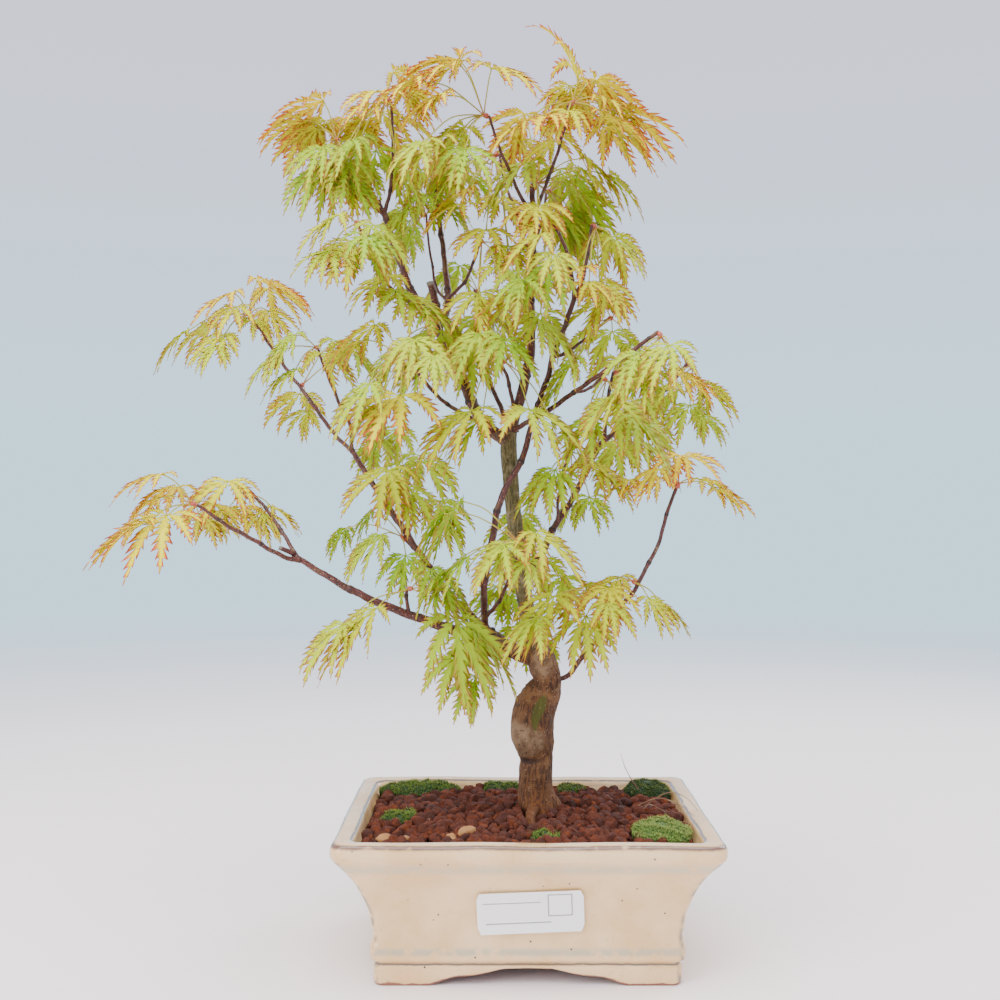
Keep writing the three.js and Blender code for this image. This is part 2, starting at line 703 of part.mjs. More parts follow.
// A lumpy cushion that sits on the soil, clear of the pot wall and of the trunk.
function makeMoss(patch, treeCutter, seed) {
  const [, x, y, spanX, spanY, height, color] = patch;
  const rings = [];
  const shares = [[1, -0.9], [1, 0.25], [0.86, 0.62], [0.55, 0.92], [0.12, 1]];
  shares.forEach(([reach, rise], level) => {
    const ring = [];
    for (let i = 0; i < 12; i += 1) {
      const angle = 2 * Math.PI * i / 12;
      const lump = 0.82 + 0.3 * scatter(seed * 31 + i * 3);
      const bump = level < 2 ? 0 : height * 0.12 * (scatter(seed * 17 + i * 5 + level) - 0.5);
      ring.push(new THREE.Vector3(
        x + spanX * reach * lump * Math.cos(angle),
        y + spanY * reach * lump * Math.sin(angle),
        SOIL_LEVEL + rise * height + bump,
      ));
    }
    rings.push(ring);
  });
  const solid = toSolid(loft(rings))
    .intersect(innerHollow(GAP))
    .subtract(soilBlock(GAP, 0))
    .subtract(treeCutter);
  return new THREE.Mesh(toGeometry(largestBody(solid)), surface(color, 1));
}

// Loose pieces on the soil: name, centre x and y, half sizes, turn in degrees, colour.
const LOOSE_PIECES = [
  ['pebble_left_front', -71, -45, 4.2, 3.4, 2.8, 20, 0xb98f5f],
  ['pebble_left_middle', -61, -47, 3.4, 2.8, 2.4, 70, 0xa98256],
  ['pebble_centre_small', -38, -47, 3.0, 2.6, 2.2, 130, 0xb08a5c],
  ['pebble_centre_large', -30, -42, 4.8, 3.8, 3.2, 40, 0xc19a68],
  ['bark_chip', 72, -10, 6.5, 2.6, 1.5, -25, 0xa8632f],
];

function looseSolid(piece, spread, seed) {
  const [, x, y, halfX, halfY, halfZ, turn] = piece;
  const stone = new THREE.IcosahedronGeometry(1, 1);
  const bare = mergeVertices(stone.deleteAttribute('normal').deleteAttribute('uv'), 1e-4);
  const place = bare.attributes.position;
  for (let i = 0; i < place.count; i += 1) {
    const swell = 0.9 + 0.2 * scatter(seed * 13 + i);
    place.setXYZ(
      i,
      place.getX(i) * (halfX + spread) * swell,
      place.getY(i) * (halfY + spread) * swell,
      place.getZ(i) * (halfZ + spread) * swell,
    );
  }
  bare.rotateZ(THREE.MathUtils.degToRad(turn));
  const mound = SOIL_LEVEL + MOUND_HEIGHT * (1 - 2 * ((x / HALF_LENGTH) ** 2 + (y / HALF_WIDTH) ** 2));
  bare.translate(x, y, mound + halfZ * 0.35);
  return toSolid(bare);
}

// ---- The tree -------------------------------------------------------------------------------------

// A hand-placed point of the tree, in the object's own millimetres.
function treePoint([x, y, z]) {
  const spread = CROWN_WIDTH / LAYOUT_WIDTH;
  const rise = z > 0 ? TREE_HEIGHT / LAYOUT_HEIGHT : 1;
  return new THREE.Vector3(x * spread, y * spread, SOIL_LEVEL + z * rise);
}

// A round limb along its centre points, thinning from its first radius to its last.
function limbSolid(points, radii, sides, seed) {
  const rings = [];
  const last = points.length - 1;
  let side = new THREE.Vector3(0, 1, 0);
  for (let i = 0; i <= last; i += 1) {
    const before = points[Math.max(i - 1, 0)];
    const after = points[Math.min(i + 1, last)];
    const along = after.clone().sub(before).normalize();
    side = side.clone().addScaledVector(along, -side.dot(along)).normalize();
    const over = along.clone().cross(side);
    const ring = [];
    for (let k = 0; k < sides; k += 1) {
      const angle = 2 * Math.PI * k / sides;
      const knot = radii[i] * (0.94 + 0.12 * scatter(seed + i * 7 + k * 3));
      const point = points[i].clone();
      point.addScaledVector(side, knot * Math.cos(angle));
      point.addScaledVector(over, knot * Math.sin(angle));
      ring.push(point);
    }
    rings.push(ring);
  }
  return toSolid(loft(rings));
}

// The place on the centre lines of some limbs that is nearest to a point.
function nearestOnWood(target, limbs) {
  const onSegment = new THREE.Vector3();
  let closest = Infinity;
  let best = null;
  for (const { points, radii } of limbs) {
    for (let i = 1; i < points.length; i += 1) {
      const segment = new THREE.Line3(points[i - 1], points[i]);
      segment.closestPointToPoint(target, true, onSegment);
      const distance = onSegment.distanceTo(target);
      if (distance < closest) {
        closest = distance;
        const along = segment.delta(new THREE.Vector3()).normalize();
        best = { point: onSegment.clone(), along, radius: Math.max(radii[i - 1], radii[i]) };
      }
    }
  }
  return best;
}

// Centre points and radii of the trunk and of every limb, each limb starting inside its parent.
function layWood() {
  const trunk = {
    points: TRUNK_RINGS.map(treePoint),
    radii: TRUNK_RINGS.map((ring) => ring[3] * TRUNK_GIRTH),
    sides: 9,
  };
  const limbs = [trunk];
  for (const [, first, last, sides, path] of LIMBS) {
    const points = path.map(treePoint);
    points[0] = nearestOnWood(points[0], limbs).point;
    const radii = path.map((_, i) => {
      const share = i / (path.length - 1);
      return (first + (last - first) * share) * Math.sqrt(TRUNK_GIRTH);
    });
    limbs.push({ points, radii, sides });
  }
  return limbs;
}

// Trunk, roots and branches as one piece of wood, thickened by a clearance for use as a cutter.
function woodSolid(limbs, clearance) {
  const solids = limbs.map(({ points, radii, sides }, n) => {
    const last = points.length - 1;
    const away = points[last].clone().sub(points[last - 1]).normalize();
    const end = points[last].clone().addScaledVector(away, clearance);
    const spine = [...points.slice(0, last), end];
    return limbSolid(spine, radii.map((radius) => radius + clearance), sides, 1 + n * 11);
  });
  return wasm.Manifold.union(solids).simplify(WOOD_TOLERANCE);
}

// Lobes of a leaf: the angle of each from the middle one, its share of the length.
const LOBES = [
  [-104, 0.5],
  [-66, 0.78],
  [-31, 0.94],
  [0, 1],
  [31, 0.92],
  [66, 0.76],
  [104, 0.48],
];

// The way a leaf hangs: straight on from its stalk, then down, steeper when it is full grown.
function leafFrame(hub, from, leaf, seed) {
  const [, , , , age, ownDip, ownHeading] = leaf;
  let turn = Math.atan2(hub.y - from.y, hub.x - from.x) + (scatter(seed * 3.7) - 0.5) * 1.1;
  let dip = 0.35 + 0.6 * age + 0.25 * (scatter(seed * 5.3) - 0.5);
  if (ownHeading !== undefined) {
    turn = THREE.MathUtils.degToRad(ownHeading);
    dip = THREE.MathUtils.degToRad(ownDip);
  }
  const heading = new THREE.Vector3(Math.cos(turn), Math.sin(turn), 0);
  const aim = heading.clone().multiplyScalar(Math.cos(dip));
  aim.z = -Math.sin(dip);
  const side = new THREE.Vector3(-heading.y, heading.x, 0);
  const face = aim.clone().cross(side).normalize();
  return { aim, side, face };
}

// The outline of a leaf from its first basal lobe round to its last, tips and notches in turn.
function leafOutline(hub, frame, leaf, clearance) {
  const { aim, side } = frame;
  const reach = leaf[3] * LEAF_SIZE;
  const lobes = leaf[3] < SMALL_LEAF ? LOBES.slice(1, -1) : LOBES;
  const outline = [];
  const place = (angle, distance, sag) => {
    const way = aim.clone().multiplyScalar(Math.cos(angle));
    way.addScaledVector(side, Math.sin(angle));
    way.z -= sag;
    outline.push(hub.clone().addScaledVector(way.normalize(), distance + clearance));
  };
  lobes.forEach(([degrees, share], n) => {
    place(THREE.MathUtils.degToRad(degrees), reach * share, 0.34);
    if (n < lobes.length - 1) {
      const half = (degrees + lobes[n + 1][0]) / 2;
      place(THREE.MathUtils.degToRad(half), reach * 0.25, 0.1);
    }
  });
  return outline;
}

// Three corners round a leaf stalk at a point: its upper side, then its left and right.
function stalkRing(centre, along, frame, radius) {
  const left = frame.side.clone().addScaledVector(along, -along.dot(frame.side)).normalize();
  const upper = left.clone().cross(along).normalize();
  return [
    centre.clone().addScaledVector(upper, radius),
    centre.clone().addScaledVector(left, radius),
    centre.clone().addScaledVector(left, -radius),
  ];
}

// A thin drooping leaf and its stalk down to the bud, as one closed skin.
function leafSolid(hub, bud, leaf, seed) {
  const frame = leafFrame(hub, bud, leaf, seed);
  const outline = leafOutline(hub, frame, leaf, 0);
  const { aim, face } = frame;
  const joint = hub.clone().addScaledVector(aim, -1.6);
  const rings = [stalkRing(joint, aim.clone().negate(), frame, PETIOLE_RADIUS)];
  const spine = stalkSpine(hub, bud);
  for (let i = 1; i >= 0; i -= 1) {
    const along = spine[i].clone().sub(spine[i + 1]).normalize();
    rings.push(stalkRing(spine[i], along, frame, PETIOLE_RADIUS * (i === 0 ? 1.2 : 1)));
  }
  const [top, bottom] = [1, -1].map((way) => {
    return hub.clone().addScaledVector(face, way * LEAF_THICKNESS / 2);
  });
  const points = [top, bottom, ...outline, ...rings.flat()];
  const count = outline.length;
  const last = 1 + count;
  const [upper, left, right] = [last + 1, last + 2, last + 3];
  const index = [0, last, left, 0, left, upper, 0, upper, right, 0, right, 2];
  index.push(1, left, last, 1, right, left, 1, 2, right);
  for (let i = 2; i < last; i += 1) {
    index.push(0, i, i + 1, 1, i + 1, i);
  }
  for (let level = 0; level < rings.length - 1; level += 1) {
    const start = upper + 3 * level;
    for (const [a, b] of [[0, 1], [1, 2], [2, 0]]) {
      index.push(start + a, start + b, start + 3 + b, start + a, start + 3 + b, start + 3 + a);
    }
  }
  const end = upper + 3 * (rings.length - 1);
  index.push(end, end + 1, end + 2);
  return toSolid(indexed(points, index));
}

// The blade alone, thickened all round by a clearance, to cut its neighbours clear of it.
function bladeCutter(hub, bud, leaf, seed) {
  const frame = leafFrame(hub, bud, leaf, seed);
  const outline = leafOutline(hub, frame, leaf, GAP);
  outline.push(hub.clone().addScaledVector(frame.aim, -1.6 - GAP));
  const count = outline.length;
  const thick = LEAF_THICKNESS / 2 + GAP;
  const points = [thick, -thick].map((lift) => hub.clone().addScaledVector(frame.face, lift));
  for (const lift of [GAP, -GAP]) {
    points.push(...outline.map((point) => point.clone().addScaledVector(frame.face, lift)));
  }
  const index = [];
  for (let i = 0; i < count; i += 1) {
    const next = (i + 1) % count;
    const [a, b, c, d] = [2 + i, 2 + next, 2 + count + i, 2 + count + next];
    index.push(0, a, b, 1, d, c, c, d, b, c, b, a);
  }
  return toSolid(indexed(points, index));
}

function indexed(points, index) {
  const positions = points.flatMap((point) => [point.x, point.y, point.z]);
  const geometry = new THREE.BufferGeometry();
  geometry.setAttribute('position', new THREE.Float32BufferAttribute(positions, 3));
  geometry.setIndex(index);
  return geometry;
}

// The line of a leaf stalk from bud to leaf, bowed up a little.
function stalkSpine(hub, bud) {
  const bend = bud.clone().lerp(hub, 0.55);
  bend.z += 0.12 * bud.distanceTo(hub);
  return [bud, bend, hub];
}

// Where a spray's bud sits: beside the wood nearest to its layout point, on the leaves' side.
function budPoint(spray, wood) {
  const [from, leaves] = spray;
  const { point, along, radius } = nearestOnWood(treePoint(from), wood);
  const toLeaves = new THREE.Vector3();
  for (const leaf of leaves) {
    toLeaves.add(treePoint(leaf).sub(point).normalize());
  }
  const backwards = toLeaves.dot(along);
  if (backwards < 0) {
    toLeaves.addScaledVector(along, -backwards);
  }
  return point.addScaledVector(toLeaves.normalize(), radius + BUD_RADIUS + GAP * 2);
}

// Where a leaf's stalk ends, never so near the bud that leaf and bud run into each other.
function hubPoint(leaf, bud) {
  const hub = treePoint(leaf);
  const reach = Math.max(hub.distanceTo(bud), SHORTEST_STALK);
  return hub.sub(bud).setLength(reach).add(bud);
}

function budSolid(bud, clearance) {
  const knob = new THREE.OctahedronGeometry(BUD_RADIUS + clearance, 0);
  knob.translate(bud.x, bud.y, bud.z);
  return toSolid(knob);
}

// One spray: a bud, its leaf stalks and their leaves, grown as one piece.
function spraySolid(spray, bud, number) {
  const leaves = spray[1].map((leaf, n) => {
    return leafSolid(hubPoint(leaf, bud), bud, leaf, number * 10 + n + 1);
  });
  return wasm.Manifold.union([budSolid(bud, 0), ...leaves]);
}

// Whether a skin stays closed, with no needle-thin facet, once its corners are rounded off.
function isSound(solid) {
  const { vertProperties, triVerts } = solid.getMesh();
  const corners = new Map();
  const uses = new Map();
  const cornerOf = (vertex) => {
    const place = new THREE.Vector3().fromArray(vertProperties, vertex * 3);
    const key = place.clone().multiplyScalar(1000).round().toArray().join();
    if (!corners.has(key)) {
      corners.set(key, { number: corners.size, place });
    }
    return corners.get(key);
  };
  for (let start = 0; start < triVerts.length; start += 3) {
    const [a, b, c] = [0, 1, 2].map((k) => cornerOf(triVerts[start + k]));
    const facet = new THREE.Triangle(a.place, b.place, c.place);
    const longest = Math.max(...[[a, b], [b, c], [c, a]].map(([p, q]) => p.place.distanceTo(q.place)));
    if (2 * facet.getArea() < THINNEST_FACET * longest) {
      return false;
    }
    for (const [p, q] of [[a, b], [b, c], [c, a]]) {
      const key = [Math.min(p.number, q.number), Math.max(p.number, q.number)].join();
      uses.set(key, (uses.get(key) ?? 0) + 1);
    }
  }
  return solid.decompose().length === 1 && [...uses.values()].every((count) => count === 2);
}

// The bud and stalks of one spray, thickened by the clearance, as a cutter.
function stalksCutter(spray, bud) {
  const radius = PETIOLE_RADIUS + GAP;
  const stalks = spray[1].map((leaf) => {
    const spine = stalkSpine(hubPoint(leaf, bud), bud);
    return limbSolid(spine, [radius * 1.3, radius * 1.1, radius * 1.1], 4, 0);
  });
  return wasm.Manifold.union([budSolid(bud, GAP), ...stalks]);
}

// The blades of one spray, thickened by the clearance, as a cutter.
function bladesCutter(spray, bud, number) {
  const blades = spray[1].map((leaf, n) => {
    return bladeCutter(hubPoint(leaf, bud), bud, leaf, number * 10 + n + 1);
  });
  return wasm.Manifold.union(blades);
}

function boxesMeet(a, b) {
  const first = a.boundingBox();
  const second = b.boundingBox();
  return [0, 1, 2].every((axis) => {
    return first.min[axis] <= second.max[axis] && second.min[axis] <= first.max[axis];
  });
}

// Leaf green runs from young yellow to full green with the mean age of the spray's leaves.
function leafColor(leaves) {
  const mean = leaves.reduce((sum, leaf) => sum + leaf[4], 0) / leaves.length;
  const young = new THREE.Color(0xddcf62);
  return young.lerp(new THREE.Color(0x8fae2c), mean);
}

// A solid cut clear of each cutter that could reach it.
function cutClear(solid, cutters) {
  let left = solid;
  for (const cutter of cutters) {
    if (boxesMeet(left, cutter)) {
      left = left.subtract(cutter);
    }
  }
  return left;
}

// A spray cut clear of its neighbours, its leaves turned afresh until the cut skin is sound.
function settleSpray(spray, bud, number, cutters) {
  let body = null;
  let seed = number;
  for (let attempt = 0; attempt < 40; attempt += 1) {
    seed = number + attempt * 0.37;
    body = largestBody(cutClear(spraySolid(spray, bud, seed), cutters));
    if (isSound(body)) {
      break;
    }
  }
  return { body, seed };
}

// Every spray in turn. Its blades give way to the wood, to the sprays before it, and to the
// stalks of those after it, which then pass through without being cut.
function makeSprays(wood, woodCutter) {
  const buds = SPRAYS.map((spray) => budPoint(spray, wood));
  const stalks = SPRAYS.map((spray, n) => stalksCutter(spray, buds[n]));
  const placed = [];
  return SPRAYS.map((spray, n) => {
    const later = stalks.slice(n + 1);
    const { body, seed } = settleSpray(spray, buds[n], n, [woodCutter, ...placed, ...later]);
    placed.push(cutClear(bladesCutter(spray, buds[n], seed), later).add(stalks[n]));
    const mesh = new THREE.Mesh(toGeometry(body), surface(leafColor(spray[1]), 0.55));
    mesh.name = `leaf_spray_${String(n + 1).padStart(2, '0')}`;
    return mesh;
  });
}

// ---- Assembly ------------------------------------------------------------------------------------

function named(mesh, name) {
  mesh.name = name;
  return mesh;
}

function build() {
  const wood = layWood();
  const woodCutter = woodSolid(wood, GAP);
  const stones = LOOSE_PIECES.map((piece, n) => looseSolid(piece, 0, n + 3));
  const stoneCutters = LOOSE_PIECES.map((piece, n) => looseSolid(piece, GAP, n + 3));
  const object = new THREE.Group();
  object.name = 'bonsai_in_pot';

  const vessel = new THREE.Group();
  vessel.name = 'vessel';
  vessel.add(named(makePot(), 'pot'));
  vessel.add(named(makeLabel(), 'blank_label'));
  vessel.add(named(makeDrainMesh(-DRAIN_SPACING / 2), 'drain_mesh_left'));
  vessel.add(named(makeDrainMesh(DRAIN_SPACING / 2), 'drain_mesh_right'));
  object.add(vessel);

  const ground = new THREE.Group();
  ground.name = 'ground';
  ground.add(named(makeSoil(woodCutter, stoneCutters), 'soil'));
  MOSS_PATCHES.forEach((patch, n) => {
    ground.add(named(makeMoss(patch, woodCutter, n + 1), patch[0]));
  });
  LOOSE_PIECES.forEach((piece, n) => {
    const mesh = new THREE.Mesh(toGeometry(stones[n]), surface(piece[7], 0.85));
    ground.add(named(mesh, piece[0]));
  });
  object.add(ground);

  const tree = new THREE.Group();
  tree.name = 'tree';
  const timber = new THREE.Mesh(toGeometry(woodSolid(wood, 0)), surface(0x6f4a33, 0.85));
  tree.add(named(timber, 'trunk_and_branches'));
  for (const mesh of makeSprays(wood, woodCutter)) {
    tree.add(mesh);
  }
  object.add(tree);

  // The origin is at the middle of the footprint, on the surface that the pot stands on.
  const box = new THREE.Box3().setFromObject(object);
  const middle = box.getCenter(new THREE.Vector3());
  object.position.set(-middle.x, -middle.y, -box.min.z);
  const part = new THREE.Group();
  part.name = 'part';
  part.add(object);
  return part;
}

export default build();
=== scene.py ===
# %% [markdown]
# # A laceleaf maple grown as a bonsai
#
# The object is a small tree in a glazed pot: stoneware, clay grains, moss, wood and more than
# two hundred cut leaves. The frame already holds plain solids for all of them. This lesson
# makes the surfaces that people see. Each one is worked out as an array of points and laid in
# the place its solid holds.

# %% Load the frame
import bpy
import numpy as np
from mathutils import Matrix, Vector


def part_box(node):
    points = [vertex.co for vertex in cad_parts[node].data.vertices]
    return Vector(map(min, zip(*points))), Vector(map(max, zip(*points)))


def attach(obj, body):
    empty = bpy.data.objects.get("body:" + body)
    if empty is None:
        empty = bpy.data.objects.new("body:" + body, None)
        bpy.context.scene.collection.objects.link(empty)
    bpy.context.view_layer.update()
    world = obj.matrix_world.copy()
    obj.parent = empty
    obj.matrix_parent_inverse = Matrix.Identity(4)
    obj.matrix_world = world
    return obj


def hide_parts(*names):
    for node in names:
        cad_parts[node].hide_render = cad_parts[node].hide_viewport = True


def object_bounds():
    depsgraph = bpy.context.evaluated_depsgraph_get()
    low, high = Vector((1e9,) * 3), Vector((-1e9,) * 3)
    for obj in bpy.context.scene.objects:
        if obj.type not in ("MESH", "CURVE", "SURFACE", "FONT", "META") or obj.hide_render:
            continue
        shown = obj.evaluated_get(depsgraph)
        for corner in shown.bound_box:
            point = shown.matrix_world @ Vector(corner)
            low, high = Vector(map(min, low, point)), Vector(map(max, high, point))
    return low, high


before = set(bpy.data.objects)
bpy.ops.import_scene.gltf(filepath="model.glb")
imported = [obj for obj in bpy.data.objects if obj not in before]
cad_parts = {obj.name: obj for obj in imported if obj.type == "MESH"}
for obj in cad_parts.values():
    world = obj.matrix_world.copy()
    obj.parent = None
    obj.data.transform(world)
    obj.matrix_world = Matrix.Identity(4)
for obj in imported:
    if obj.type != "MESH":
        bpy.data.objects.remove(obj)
cad_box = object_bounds()
print("nodes in the frame:", len(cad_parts))

# %% [markdown]
# ## One origin for the given points
#
# A grower describes a tree from the pot: so far left, so far forward, so high above the soil.
# All points below are in millimetres from the middle of the pot, which the frame gives.

# %% Millimetres, and the middle of the pot
MM = 0.001
pot_low, pot_high = (np.array(corner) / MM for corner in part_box("pot"))
POT_CENTRE = np.array([(pot_low[0] + pot_high[0]) / 2, (pot_low[1] + pot_high[1]) / 2, 0.0])
RIM_HALF = (pot_high - pot_low)[:2] / 2
POT_HEIGHT = pot_high[2]
SOIL_DROP = 5.0
SOIL_LEVEL = POT_HEIGHT - SOIL_DROP
print("pot half sizes", RIM_HALF.round(1), "height", round(float(POT_HEIGHT), 1))

# %% [markdown]
# ## The camera
#
# It looks level along +Y from just over half a metre, at about half the height of the tree.
# Nothing is shifted or tilted, so upright lines stay upright.

# %% Set the camera
CAMERA_FROM_POT = np.array([-13.6, -640.0, 237.5])
camera_data = bpy.data.cameras.new("camera")
camera_data.lens = 43.2
camera_data.sensor_width = 36.0
camera_data.clip_start = 0.01
camera = bpy.data.objects.new("camera", camera_data)
camera.location = (POT_CENTRE + CAMERA_FROM_POT) * MM
camera.rotation_euler = (np.pi / 2, 0.0, 0.0)
bpy.context.scene.collection.objects.link(camera)
bpy.context.scene.camera = camera
print("camera at", [round(v, 3) for v in camera.location])

# %% [markdown]
# ## Small tools for surfaces
#
# Almost everything here is a skin that closes round itself and ends in two poles: a branch, a
# leaf lobe, a stone, even the pot. So one function turns a grid of points into such a skin.
# Irregularity comes from a sum of sine waves in many directions, which is smooth, has no seam,
# and is the same on every run.

# %% Skin of a grid, soft noise and smooth paths
def unit(vectors):
    """Each vector over its own length."""
    return vectors / np.maximum(np.linalg.norm(vectors, axis=-1, keepdims=True), 1e-9)


def skin(grid, **values):
    """Closed skin of grid[row, column]: columns join round, and the first and last rows close on
    their mean point. values are numbers per grid point, kept for the materials."""
    rows, columns = grid.shape[:2]
    index = np.arange(rows * columns).reshape(rows, columns)
    beside = np.roll(index, -1, axis=1)
    quads = np.stack([index[:-1], beside[:-1], beside[1:], index[1:]], axis=-1).reshape(-1, 4)
    first = np.full(columns, rows * columns)
    fans = np.concatenate([
        np.stack([beside[0], index[0], first], axis=-1),
        np.stack([index[-1], beside[-1], first + 1], axis=-1),
    ])
    points = np.vstack([grid.reshape(-1, 3), grid[0].mean(0), grid[-1].mean(0)])
    kept = {}
    for name, value in values.items():
        table = np.broadcast_to(np.asarray(value, float), (rows, columns))
        kept[name] = np.concatenate([table.ravel(), [table[0].mean(), table[-1].mean()]])
    return {"points": points, "quads": quads, "fans": fans, "values": kept}


def loose_triangles(points, triangles, **values):
    """A skin of triangles alone, for balls and blades."""
    return {"points": points, "quads": np.zeros((0, 4), int), "fans": triangles,
            "values": values}


def lumps(points, size, seed):
    """Smooth noise, mostly from -1 to 1: a quarter of the sum of 9 sine waves about `size` long,
    each along its own direction with its own start."""
    draw = np.random.default_rng(seed)
    waves = unit(draw.normal(size=(9, 3))) * draw.uniform(0.6, 1.6, (9, 1)) * 2 * np.pi / size
    phase = draw.uniform(0, 2 * np.pi, 9)
    return np.sin(points @ waves.T + phase).sum(-1) / 4.0


def smooth_path(knots, step):
    """Catmull-Rom curve through the knots: each stretch leaves a knot along the line that joins
    the knot's two neighbours. Extra columns, such as a radius, are carried along."""
    knots = np.asarray(knots, float)
    length = np.linalg.norm(np.diff(knots[:, :3], axis=0), axis=1).sum()
    count = max(int(length / step), 2 * len(knots))
    place = np.linspace(0, len(knots) - 1, count + 1)
    start = np.minimum(place.astype(int), len(knots) - 2)
    t = (place - start)[:, None]
    padded = np.vstack([2 * knots[0] - knots[1], knots, 2 * knots[-1] - knots[-2]])
    a, b, c, d = (padded[start + k] for k in range(4))
    return 0.5 * (2 * b + (c - a) * t + (2 * a - 5 * b + 4 * c - d) * t**2
                  + (3 * b - a - 3 * c + d) * t**3)


def tube(path, radius, columns, reference=(1.0, 0.0, 0.0)):
    """Points round a path: at each row a circle in the plane across the path, its first column
    on the side of the reference direction. radius may be a number per row, or per point."""
    along = unit(np.gradient(path, axis=0))
    reference = np.asarray(reference, float)
    across = unit(reference - (along @ reference)[:, None] * along)
    over = np.cross(along, across)
    angle = np.arange(columns) * 2 * np.pi / columns
    radius = np.asarray(radius, float)
    radius = radius[:, None] if radius.ndim == 1 else radius
    ring = across[:, None] * np.cos(angle)[:, None] + over[:, None] * np.sin(angle)[:, None]
    return path[:, None] + ring * radius[..., None]


def bell(value, centre, width):
    """1 at the centre, falling off on both sides over the width."""
    return np.exp(-(((value - centre) / width) ** 2))


print("sample of the noise:", lumps(np.eye(3) * 5, 10, 1).round(2))

# %% [markdown]
# ## Putting skins into a Blender object
#
# `foreach_set` writes whole arrays at once, which is far faster than adding faces one by one.
# Several skins can share one object, as the leaves of one bud do.

# %% Make an object of skins
def put_piece(name, groups):
    """One object from [(material, [skins])]: points in mm from the pot's middle become metres in
    the row's frame, quads and fans become faces, and values become point attributes."""
    skins = [(slot, one) for slot, (_, members) in enumerate(groups) for one in members]
    starts = np.cumsum([0] + [len(one["points"]) for _, one in skins])
    points = (np.vstack([one["points"] for _, one in skins]) + POT_CENTRE) * MM
    quads = np.vstack([one["quads"] + start for (_, one), start in zip(skins, starts)])
    fans = np.vstack([one["fans"] + start for (_, one), start in zip(skins, starts)])
    slots = np.concatenate([np.full(len(one["quads"]), slot) for slot, one in skins]
                           + [np.full(len(one["fans"]), slot) for slot, one in skins])
    mesh = bpy.data.meshes.new(name)
    mesh.vertices.add(len(points))
    mesh.vertices.foreach_set("co", points.ravel())
    corners = np.concatenate([quads.ravel(), fans.ravel()])
    mesh.loops.add(len(corners))
    mesh.loops.foreach_set("vertex_index", corners)
    counts = np.concatenate([np.full(len(quads), 4), np.full(len(fans), 3)])
    mesh.polygons.add(len(counts))
    mesh.polygons.foreach_set("loop_start", np.cumsum(counts) - counts)
    mesh.polygons.foreach_set("material_index", slots)
    mesh.update(calc_edges=True)
    mesh.polygons.foreach_set("use_smooth", np.ones(len(counts), bool))
    for key in sorted({key for _, one in skins for key in one["values"]}):
        numbers = [one["values"].get(key, np.zeros(len(one["points"]))) for _, one in skins]
        layer = mesh.attributes.new(key, "FLOAT", "POINT")
        layer.data.foreach_set("value", np.concatenate(numbers).astype(np.float32))
    mesh.validate()
    for material, _ in groups:
        mesh.materials.append(material)
    piece = bpy.data.objects.new(name, mesh)
    bpy.context.scene.collection.objects.link(piece)
    return piece


def settle(piece, slot, *nodes):
    """The piece stands for its CAD nodes and rides on the one body. Its finish, slot, is
    not used.
    """
    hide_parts(*nodes)
    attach(piece, "root")
    faces = len(piece.data.polygons)
    print(f"{piece.name}: {faces} faces, stands for {', '.join(nodes)}")


# %% [markdown]
# ## Small tools for materials
#
# Colours are written as the sRGB hex values that a paint chart gives, and turned to linear
# light once. One function adds a node with its settings and links. Patterns are sized from
# their real spacing in millimetres.

# %% Colour, pattern size and nodes
def linear(hex_colour):
    """sRGB hex to linear RGBA: each channel over 255, then undone from the sRGB curve."""
    channels = np.array([int(hex_colour[i:i + 2], 16) for i in (1, 3, 5)]) / 255
    light = np.where(channels <= 0.04045, channels / 12.92, ((channels + 0.055) / 1.055) ** 2.4)
    return (*light, 1.0)


def per_metre(spacing_mm):
    """Texture scale whose features are about this many millimetres apart."""
    return 1000.0 / spacing_mm


def add(tree, kind, inputs=(), **settings):
    """Adds one node, applies its settings, and sets or links each input given."""
    made = tree.nodes.new("ShaderNode" + kind)
    for key, value in settings.items():
        setattr(made, key, value)
    for socket, value in dict(inputs).items():
        if isinstance(value, bpy.types.NodeSocket):
            tree.links.new(value, made.inputs[socket])
        else:
            made.inputs[socket].default_value = value
    return made


def math(tree, operation, *values):
    """Result of one arithmetic node on two or three values."""
    return add(tree, "Math", dict(enumerate(values)), operation=operation).outputs[0]


def attribute(tree, name):
    """A number that the skin carries at each of its points."""
    return add(tree, "Attribute", attribute_name=name).outputs["Fac"]


def noise(tree, where, spacing_mm, detail, **more):
    """Cloudy pattern from 0 to 1 with features about spacing_mm apart."""
    settings = {"Vector": where, "Scale": per_metre(spacing_mm), "Detail": detail, **more}
    return add(tree, "TexNoise", settings).outputs[0]


def cells(tree, where, spacing_mm):
    """Scattered spots about spacing_mm apart: distance from the nearest, and its own colour."""
    found = add(tree, "TexVoronoi", {"Vector": where, "Scale": per_metre(spacing_mm)})
    return found.outputs["Distance"], found.outputs["Color"]


def emboss(tree, shader, height, strength, depth_mm, invert=False):
    """Relief on the surface from a height pattern, depth_mm deep at full strength."""
    bump = add(tree, "Bump", {"Height": height, "Strength": strength,
                              "Distance": depth_mm * MM}, invert=invert)
    tree.links.new(bump.outputs[0], shader.inputs["Normal"])


def mix_surface(tree, shader, share, other):
    """Sends share of another shader and the rest of the main one to the surface."""
    mixed = add(tree, "MixShader", {0: share, 1: shader.outputs[0], 2: other.outputs[0]})
    output = next(n for n in tree.nodes if n.bl_idname == "ShaderNodeOutputMaterial")
    tree.links.new(mixed.outputs[0], output.inputs["Surface"])


def blend(tree, share, first, second):
    """Colour that goes from first to second as share goes from 0 to 1."""
    first = linear(first) if isinstance(first, str) else first
    second = linear(second) if isinstance(second, str) else second
    return add(tree, "Mix", {0: share, 6: first, 7: second}, data_type="RGBA").outputs[2]


